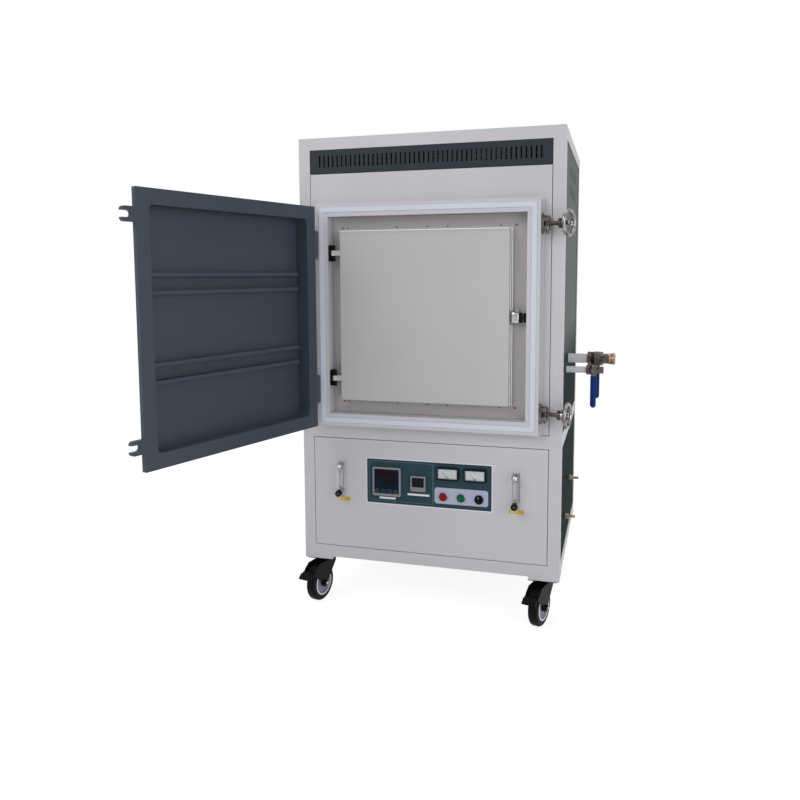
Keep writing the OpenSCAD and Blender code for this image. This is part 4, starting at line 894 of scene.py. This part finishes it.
@dataclass
class InstrumentPanel:
    """Trim round the instruments: the window's rim, the board's line, strips and switch marks.

    Attributes:
        rim: width of the white rim round the window.
        edge: width of the plate that the cover hides round the window.
        strip_h: height of the white strips.
        line: width of the pale line on the board.
        line_in: distance of that line from the window's edge.
        board_share: share of the window's width that the left board takes.
        large_strip: width, place across and drop of the strip below the large controller.
        small_strip: the same for the small controller, from its right edge and its middle.
        bezel: radius and height of the points of a switch bezel's outline.
        screw_in: distance of a screw from the switch plate's edges.
    """

    rim: float = 3.2
    edge: float = 12.0
    strip_h: float = 6.6
    line: float = 0.9
    line_in: float = 8.0
    board_share: float = 0.54
    large_strip: tuple[float, float, float] = (56.0, 49.0, 8.6)
    small_strip: tuple[float, float, float] = (74.0, -25.0, 38.4)
    bezel: tuple[tuple[float, float], ...] = ((12.9, 0.0), (15.0, 0.0), (14.8, 1.0), (14.0, 1.7),
                                              (12.9, 1.4))
    screw_in: float = 7.0

    def rim_band(self) -> None:
        """Adds the white rim round the window."""
        low, high = where("instrument_plate")
        mid = (low + high) / 2
        band = Blank().band((mid.x, 0.0, mid.z), high.x - low.x - 2 * self.edge,
                            high.z - low.z - 2 * self.edge, self.rim, 1.0)
        band.place("window_rim", Coat.WHITE, "cabinet", "cabinet_paint")

    def board_line(self) -> None:
        """Adds the pale line round the left board and the seam beside it."""
        low, high = where("instrument_plate")
        left, width = low.x + self.edge, high.x - low.x - 2 * self.edge
        tall = high.z - low.z - 2 * self.edge
        seam = left + width * self.board_share
        inner_w = seam - left - self.line_in - 2.0
        mid = Vector((left + self.line_in + inner_w / 2, low.y, (low.z + high.z) / 2))
        line = Blank().band(mid, inner_w, tall - 2 * self.line_in, self.line, 0.25, 6.0)
        line.place("board_line", Coat.BOARD_LINE, "cabinet", "plate_paint")
        joint = Blank().block((seam, low.y - 0.6, low.z + self.edge),
                              (seam + self.line, low.y, high.z - self.edge))
        joint.place("board_seam", Coat.BOARD_LINE, "cabinet", "plate_paint")

    def strips(self) -> None:
        """Adds the bare white strips below the controllers."""
        low, high = where("temperature_controllers")
        face = where("instrument_plate")[0].y
        strips = Blank()
        for edge, level, (width, across, drop) in ((low.x, low.z, self.large_strip),
                                                   (high.x, (low.z + high.z) / 2,
                                                    self.small_strip)):
            strips.plate((edge + across, face, level - drop), width, self.strip_h, 0.6, 0.8)
        strips.place("name_strips", Coat.WHITE, "cabinet", "switch_paint")

    def switch_trim(self) -> None:
        """Adds the bright bezels and the plate's screws."""
        plate_low, plate_high = where("switch_plate")
        front = plate_low.y
        for name, coat, nodes in (("button_bezels", Coat.CHROME, ("stop_button", "start_button")),
                                  ("selector_bezel", Coat.BLACK, ("selector_knob",))):
            bezels = Blank()
            for node in nodes:
                spot = middle(node)
                bezels.lathe((spot.x, front, spot.z), Axis.FRONT, self.bezel)
            bezels.place(name, coat, "cabinet", "switch_paint")
        screws = Blank()
        for x in (plate_low.x + self.screw_in, plate_high.x - self.screw_in):
            for z in (plate_low.z + self.screw_in, plate_high.z - self.screw_in):
                screws.rod((x, front + 4.0, z), Axis.FRONT, 2.2, 1.0, 20, 0.4)
        screws.place("switch_plate_screws", Coat.NICKEL, "cabinet", "nickel")

    def selector_mark(self) -> None:
        """Adds the white line on the selector's grip."""
        low, high = where("selector_knob")
        mid = (low + high) / 2
        line = Blank().block((mid.x - 0.5, low.y - 0.15, mid.z + 5.0),
                             (mid.x + 0.5, low.y + 0.4, high.z - 0.8))
        line.place("selector_line", Coat.WHITE, "selector_knob", "black_plastic")

    def build(self) -> None:
        """Builds the trim."""
        self.rim_band()
        self.board_line()
        self.strips()
        self.switch_trim()
        self.selector_mark()


@dataclass
class FlowMeters:
    """Trim of the two flow meters: scale, end fittings and the yellow strips.

    Attributes:
        marks: number of marks on the scale.
        step: distance between the marks.
        strip_w: width of the yellow strip.
        strip_h: height of the yellow strip.
        half: distance of a tube's middle from the outer edge of the pair.
        zero: height of the scale's zero above the tube's foot.
        seats: distance of the two seats from the tube's foot and from its top.
        plug_line: radius and depth of the points of the top plug's outline.
    """

    marks: int = 11
    step: float = 6.2
    strip_w: float = 47.0
    strip_h: float = 13.0
    half: float = 13.0
    zero: float = 36.0
    seats: tuple[float, float] = (28.5, 17.0)
    plug_line: tuple[tuple[float, float], ...] = ((0.0, 9.6), (4.2, 8.8), (7.8, 6.4), (9.8, 2.8),
                                                  (9.8, 0.0), (0.0, 0.0))

    def trim(self, side: str) -> None:
        """Adds one flow meter's trim.

        Args:
            side: left or right.
        """
        low, high = where("flowmeter_tubes")
        x = low.x + self.half if side == "left" else high.x - self.half
        front = low.y
        ink = Blank()
        for i in range(self.marks):
            long = 6.0 if i % 5 == 0 else 3.5
            z = low.z + self.zero + self.step * i
            ink.block((x + 2.0, front - 0.15, z - 0.55), (x + 2.0 + long, front + 0.1, z + 0.55))
        for i in range(3):
            z = low.z + self.zero + self.step * 5 * i
            ink.words(str(5 * i), (x - 5.5, front - 0.1, z), 4.2)
        ink.place(f"{side}_flow_scale", Coat.INK, "cabinet", "black_plastic")
        caps = Blank()
        for z in (low.z + self.seats[0], high.z - self.seats[1]):
            caps.rod((x, (low.y + high.y) / 2, z - 2.5), Axis.UP, 7.0, 5.0, 32, 0.6)
        caps.place(f"{side}_flow_seats", Coat.CHROME, "cabinet", "nickel")
        plug = Blank().lathe((x, front - 0.5, high.z - 9.0), Axis.FRONT, self.plug_line, 32, False)
        plug.place(f"{side}_flow_plug", Coat.CHROME, "cabinet", "nickel")
        strip = Blank().plate((x + (3.0 if side == "left" else 2.0), 0.0, low.z - 3.4),
                              self.strip_w, self.strip_h, 0.5, 0.6)
        strip.place(f"{side}_yellow_strip", Coat.YELLOW, "cabinet", "cabinet_paint")

    def knob(self, side: str) -> None:
        """Adds the bright face of a flow meter's knob."""
        low, high = where(f"{side}_flow_knob")
        mid = (low + high) / 2
        face = Blank().rod((mid.x, low.y, mid.z), Axis.FRONT, 4.4, 0.5, 28, 0.2)
        face.block((mid.x - 0.5, low.y - 0.8, mid.z), (mid.x + 0.5, low.y, mid.z + 4.0))
        face.place(f"{side}_knob_face", Coat.OILED, f"{side}_flow_knob", "nickel")

    def build(self) -> None:
        """Builds both flow meters' trim."""
        for side in ("left", "right"):
            self.trim(side)
            self.knob(side)


@dataclass
class Doorway:
    """Screws round the mouth plate and on the clamps, and the domed nuts on the swing bolts.

    Attributes:
        small_x: places of the small screws across the mouth plate.
        large_x: places of the larger ones.
        reach: height of the rows of screws above and below the plate's middle.
        bolt_len: length of a swing bolt from its pin.
        clevis_screw: distance of a clevis screw from the plate's edge and from the pin.
        cap_line: radius and height of the points of the domed nut's outline.
        cap_l: length of a swing bolt's end that its domed nut covers.
    """

    small_x: tuple[float, ...] = (-268.0, -101.0, 66.0, 234.0)
    large_x: tuple[float, ...] = (-284.0, 1.0, 283.0)
    reach: float = 285.0
    bolt_len: float = 78.8
    clevis_screw: tuple[float, float] = (9.0, 25.0)
    cap_line: tuple[tuple[float, float], ...] = ((0.0, 9.4), (3.0, 8.8), (5.4, 6.4), (6.9, 3.0),
                                                 (6.9, 0.0), (0.0, 0.0))
    cap_l: float = 8.0

    def mouth_screws(self) -> None:
        """Adds the small screws round the mouth plate."""
        front = where("mouth_plate")[0].y
        mid = middle("mouth_plate")
        screws = Blank()
        for s in (-1, 1):
            z = mid.z + s * self.reach
            for x in self.small_x:
                screws.rod((x, front, z), Axis.FRONT, 3.0, 1.2, 16, 0.4)
            for x in self.large_x:
                screws.rod((x, front, z), Axis.FRONT, 4.0, 2.0, 6, 0.4)
        screws.place("mouth_screws", Coat.STEEL, "cabinet", "steel")

    def clamp_screws(self) -> None:
        """Adds the socket screws in the clevis plates."""
        low = where("clamp_clevises")[0]
        edge_in, apart = self.clevis_screw
        screws = Blank()
        for side in ("upper", "lower"):
            spot = joint_at(f"{side}_bolt_swing")
            for s in (-1, 1):
                screws.rod((low.x + edge_in, spot.y, spot.z + s * apart), Axis.RIGHT, 3.6, 2.4,
                           24, 0.5)
        screws.place("clevis_screws", Coat.NICKEL, "cabinet", "steel")

    def bolt_ends(self, side: str) -> None:
        """Adds the domed nut on a swing bolt's end.

        Args:
            side: upper or lower.
        """
        way = joint_axis(f"{side}_collar_travel")
        pivot = joint_at(f"{side}_bolt_swing")
        tip = pivot + way * self.bolt_len
        nut = Blank().lathe(tip - way * self.cap_l, way, self.cap_line, 24, False)
        nut.place(f"{side}_bolt_cap", Coat.CHROME, f"{side}_swing_bolt", "steel")

    def build(self) -> None:
        """Builds all the fasteners of the doorway."""
        self.mouth_screws()
        self.clamp_screws()
        self.bolt_ends("upper")
        self.bolt_ends("lower")


@dataclass
class InnerDoorTrim:
    """The inner door's latch and the painted highlights along the door's bent edges.

    Attributes:
        handle: width, height and thickness of the latch's chrome handle.
        handle_shift: distance of the handle's middle from the latch's pin.
        pad: width and height of the black pad beside the handle.
        neck_r: radius of the neck behind the handle.
        neck_l: length of that neck.
        tongue: width, thickness and length of the tongue.
        lip: width of the door's lip.
        lip_back: distance of the lip's face from the door's back.
        lip_end: distance of the lip's right end from the latch's pin, to the left.
        edge: width of one painted highlight strip.
        highlight_out: how far the painted highlight strips stand out of the lip.
        highlight_in: distance of a highlight strip from the lip's own edge.
        top_in: distance of the top highlight strip's left end from the door's edge.
        top_t: height of the top highlight strip and half its thickness.
        latch_room: height that the highlight strips leave free at the latch.
    """

    handle: tuple[float, float, float] = (24.0, 34.0, 11.5)
    handle_shift: float = -5.0
    pad: tuple[float, float] = (11.0, 31.0)
    neck_r: float = 6.0
    neck_l: float = 6.0
    tongue: tuple[float, float, float] = (11.0, 4.0, 27.0)
    lip: float = 8.0
    lip_back: float = 4.0
    lip_end: float = 14.5
    edge: float = 2.6
    highlight_out: float = 10.0
    highlight_in: float = 0.2
    top_in: float = 30.0
    top_t: tuple[float, float] = (1.6, 0.5)
    latch_room: float = 44.0

    def latch(self) -> None:
        """Adds the latch: its handle, its pad, the stem behind them and the tongue."""
        low, high = where("inner_latch")
        pivot = joint_at("inner_latch_turn")
        wide, tall, thick = self.handle
        x, z = pivot.x + self.handle_shift, pivot.z
        handle = Blank().block((x - wide / 2, low.y, z - tall / 2),
                               (x + wide / 2, low.y + thick, z + tall / 2), 4.5)
        handle.rod((x, low.y - 0.8, z), Axis.BACK, 4.6, 1.6, 24, 0.6)
        handle.place("latch_handle", Coat.CHROME, "inner_latch", "nickel", ("inner_latch",))
        side = x + wide / 2
        pad = Blank().block((side, low.y + 2.0, z - self.pad[1] / 2),
                            (side + self.pad[0], low.y + thick, z + self.pad[1] / 2), 1.5)
        pad.place("latch_pad", Coat.BLACK, "inner_latch", "black_plastic")
        wide, thick, long = self.tongue
        front = low.y + self.handle[2]
        tongue_y = low.y + self.handle[2] + self.neck_l + 0.5
        stem = Blank().rod((pivot.x, front, z), Axis.BACK, self.neck_r, self.neck_l + 0.5, 32)
        stem.rod((pivot.x, tongue_y, z), Axis.BACK, self.neck_r * 2 / 3, high.y - tongue_y, 32)
        stem.place("latch_stem", Coat.NICKEL, "inner_latch", "nickel")
        tongue = Blank().block((pivot.x - wide / 2, tongue_y, z),
                               (pivot.x + wide / 2, tongue_y + thick, z + long), 0.8)
        tongue.rod((pivot.x, tongue_y, z), Axis.BACK, wide / 2 + 1.0, thick, 40, 0.4)
        tongue.place("latch_tongue", Coat.MOUTH, "inner_latch", "nickel")

    def edges(self) -> None:
        """Adds painted highlights: near-white strips along the door's free edge and its top,
        standing in for the light that the bent sheet catches.
        """
        low, high = where("inner_door")
        pivot = joint_at("inner_latch_turn")
        right = pivot.x - self.lip_end
        bottom, top = low.z + self.lip, high.z - self.lip
        face = high.y - self.lip_back
        spans = ((bottom, pivot.z - self.latch_room / 2), (pivot.z + self.latch_room / 2, top))
        # Painted highlight: these near-white strips stand in for the light that the door's bent
        # edges catch.
        highlight_strips = Blank()
        for x in (right - self.lip + self.highlight_in, right - self.edge - self.highlight_in):
            for foot, head in spans:
                highlight_strips.block((x, face - self.highlight_out, foot), (x + self.edge, face, head), 0.9)
        tall, half = self.top_t
        head = top - self.highlight_in
        highlight_strips.block((low.x + self.top_in, low.y - half, head - tall),
                    (right - self.lip, low.y + half, head), 0.3)
        highlight_strips.place("inner_door_bend_highlights", Coat.PAINTED_HIGHLIGHT, "inner_door", "cabinet_paint")

    def build(self) -> None:
        """Builds the latch and the painted highlight strips."""
        self.latch()
        self.edges()


@dataclass
class Valves:
    """Grips of the two valves and the ring on the vacuum valve's tail.

    Attributes:
        sleeve: thickness of the dipped grip over the lever.
        bare: length of bare steel below the nut.
        point: size of the grip's chamfers.
        half: half the lever's width.
        lever_in: distance of the lever's front from its node's front.
        lever_t: thickness of the lever.
        ring_in: distance of the tail ring's start from the valve's right end.
        ring_line: radius and distance of the points of the tail ring's outline.
    """

    sleeve: float = 0.9
    bare: float = 17.0
    point: float = 6.0
    half: float = 8.5
    lever_in: float = 6.0
    lever_t: float = 3.0
    ring_in: float = 21.0
    ring_line: tuple[tuple[float, float], ...] = ((17.0, 0.0), (18.6, 0.0), (18.6, 8.0),
                                                  (19.4, 10.0), (19.4, 20.4), (17.0, 20.8))

    def grip(self, name: str, joint: str) -> None:
        """Adds the blue grip over a lever.

        Args:
            name: the lever's node.
            joint: the lever's joint.
        """
        low, high = where(name)
        pivot = joint_at(joint)
        half = self.half + self.sleeve
        front = low.y + self.lever_in - self.sleeve
        back = front + self.lever_t + 2 * self.sleeve
        foot = low.z - 0.8
        grip = Blank().block((pivot.x - half, front, foot),
                             (pivot.x + half, back, pivot.z - self.bare))
        tips = [e for e in grip.bm.edges if all(v.co.z < foot + 1 for v in e.verts)
                and abs(e.verts[0].co.x - e.verts[1].co.x) < 1]
        bmesh.ops.bevel(grip.bm, geom=tips, offset=self.point, segments=1, profile=0.5,
                        affect="EDGES", material=-1)
        grip.soften_all(1.1)
        grip.place(f"{name}_grip", Coat.GRIP, name, "lever_paint")

    def tail_ring(self) -> None:
        """Adds the brass ring on the vacuum valve's tail."""
        high = where("valve_bodies")[1]
        spot = joint_at("vacuum_valve_turn")
        ring = Blank().lathe((high.x - self.ring_in, spot.y, spot.z), Axis.RIGHT, self.ring_line,
                             48)
        ring.place("vacuum_tail_ring", Coat.BRASS, "cabinet", "brass")

    def build(self) -> None:
        """Builds the grips and the ring."""
        self.grip("vacuum_valve_lever", "vacuum_valve_turn")
        self.grip("gas_valve_lever", "gas_valve_turn")
        self.tail_ring()


@dataclass
class Casters:
    """Hub faces of the caster wheels.

    Attributes:
        hub_line: radius and depth of the points of a hub's outline.
        ring_line: radius and depth of the points of the pale ring's outline.
        nut_out: distance of an axle nut from the wheel's middle.
    """

    hub_line: tuple[tuple[float, float], ...] = ((5.2, 0.0), (5.2, 5.6), (12.0, 5.4), (15.0, 1.2),
                                                 (36.0, 1.4), (39.0, 5.0), (39.0, 0.0))
    ring_line: tuple[tuple[float, float], ...] = ((38.6, 0.0), (38.9, 1.4), (41.0, 1.9),
                                                  (43.2, 1.2), (43.6, 0.0))
    nut_out: float = 27.4

    def hub(self, corner: str) -> None:
        """Adds one wheel's hub faces and its axle nuts.

        Args:
            corner: front_left, front_right, rear_left or rear_right.
        """
        spot = joint_at(f"{corner}_roll")
        axis = joint_axis(f"{corner}_roll")
        hub, ring, nut = Blank(), Blank(), Blank()
        for way in (axis, -axis):
            hub.lathe(spot + way * 9.6, way, self.hub_line, 48)
            ring.lathe(spot + way * 15.4, way, self.ring_line, 56)
            nut.rod(spot + way * self.nut_out, way, 6.2, 4.0, 6, 0.6)
        hub.place(f"{corner}_hub", Coat.HUB, f"{corner}_wheel", "tyre")
        ring.place(f"{corner}_hub_ring", Coat.RING, f"{corner}_wheel", "tyre")
        nut.place(f"{corner}_axle_nuts", Coat.NICKEL, f"{corner}_fork", "nickel")

    def build(self) -> None:
        """Builds the hubs of all wheels."""
        for corner in ("front_left", "front_right", "rear_left", "rear_right"):
            self.hub(corner)


@dataclass
class Studio:
    """The white studio, its lamps and the camera of the photograph.

    Attributes:
        eye: the camera's place in cabinet millimetres.
        yaw: turn to the left in degrees.
        pitch: tilt downwards in degrees.
        roll: roll in degrees.
        focal: focal length in pixels of the photograph.
        frame_px: side of the photograph in pixels.
        axis_px: where the optical axis meets the photograph.
        sensor: sensor width in millimetres.
        world_light: strength of the white surroundings as a light.
        floor_glow: strength of the floor's own white.
        floor_share: share of that white in what is seen of the floor.
    """

    eye: tuple[float, float, float] = (590.4, -2355.9, 1120.2)
    yaw: float = 15.995
    pitch: float = 5.747
    roll: float = -0.264
    focal: float = 760.5
    frame_px: float = 800.0
    axis_px: tuple[float, float] = (400.9, 351.1)
    sensor: float = 36.0
    world_light: float = 0.42
    floor_glow: float = 1.25
    floor_share: float = 0.7

    def camera(self) -> None:
        """Sets the camera at the photograph's viewpoint."""
        data = bpy.data.cameras.new("photo_camera")
        data.sensor_width = self.sensor
        data.lens = self.focal / self.frame_px * self.sensor
        half = self.frame_px / 2
        data.shift_x = (half - self.axis_px[0]) / self.frame_px
        data.shift_y = (self.axis_px[1] - half) / self.frame_px
        data.clip_start, data.clip_end = 0.05, 60.0
        camera = bpy.data.objects.new("photo_camera", data)
        turn = (Matrix.Rotation(math.radians(self.yaw), 4, "Z")
                @ Matrix.Rotation(math.radians(90 - self.pitch), 4, "X")
                @ Matrix.Rotation(math.radians(self.roll), 4, "Z"))
        camera.matrix_world = Matrix.Translation(Vector(self.eye) / METRE + DATUM) @ turn
        bpy.context.scene.collection.objects.link(camera)
        bpy.context.scene.camera = camera

    def lamp(self, name: str, spot: Point, aim: Point, size: float, power: float) -> None:
        """Adds a soft square lamp.

        Args:
            name: the lamp's name.
            spot: its place in metres.
            aim: the point it shines at.
            size: its side in metres.
            power: its power in watts.
        """
        data = bpy.data.lights.new(name, "AREA")
        data.size = size
        data.energy = power
        lamp = bpy.data.objects.new(name, data)
        turn = (Vector(aim) - Vector(spot)).to_track_quat("-Z", "Y").to_matrix().to_4x4()
        lamp.matrix_world = Matrix.Translation(Vector(spot)) @ turn
        bpy.context.scene.collection.objects.link(lamp)

    def floor(self) -> None:
        """Adds the white floor, which keeps a soft shadow."""
        bm = bmesh.new()
        bmesh.ops.create_grid(bm, x_segments=1, y_segments=1, size=14.0)
        mesh = bpy.data.meshes.new("studio_floor")
        bm.to_mesh(mesh)
        bm.free()
        graph = Paint("studio_white")
        graph.feed(graph.shader.inputs["Base Color"], (0.9, 0.9, 0.9, 1.0))
        graph.feed(graph.shader.inputs["Roughness"], 0.9)
        glow = graph.node("ShaderNodeEmission",
                          inputs={"Color": (1, 1, 1, 1), "Strength": self.floor_glow})
        mixed = graph.node("ShaderNodeMixShader",
                           inputs={0: graph.watched() * self.floor_share,
                                   1: Signal(graph, graph.shader.outputs[0]), 2: glow})
        graph.tree.links.new(mixed.socket, graph.out.inputs[0])
        mesh.materials.append(graph.material)
        floor = bpy.data.objects.new("studio_floor", mesh)
        bpy.context.scene.collection.objects.link(floor)

    def world(self) -> None:
        """Makes the surroundings white to the eye and mild as a light."""
        world = bpy.data.worlds.new("studio")
        world.use_nodes = True
        graph = Graph(world.node_tree)
        back = graph.tree.nodes["Background"]
        graph.feed(back.inputs["Color"], (1, 1, 1, 1))
        graph.feed(back.inputs["Strength"],
                   graph.watched() * (1.0 - self.world_light) + self.world_light)
        bpy.context.scene.world = world

    def build(self) -> None:
        """Sets up the whole studio."""
        scene = bpy.context.scene
        scene.view_settings.view_transform = "Standard"
        self.camera()
        self.floor()
        self.world()
        self.lamp("key", (-1.9, -3.2, 3.4), (0.0, 0.0, 0.8), 2.4, 70.0)
        self.lamp("fill", (3.0, -2.6, 1.6), (0.1, 0.2, 0.8), 2.6, 44.0)
        self.lamp("top", (0.2, 0.4, 4.0), (0.0, 0.2, 0.8), 2.4, 30.0)


def main() -> None:
    """Dresses the furnace and sets up the studio."""
    logging.basicConfig(level=logging.INFO, format="%(message)s")
    NodePaint().paint()
    for assembly in (InstrumentPanel(), Controllers(), Meters(), FlowMeters(), Doorway(),
                     InnerDoorTrim(), Valves(), Casters()):
        assembly.build()
    Studio().build()


if __name__ == "__main__":
    main()
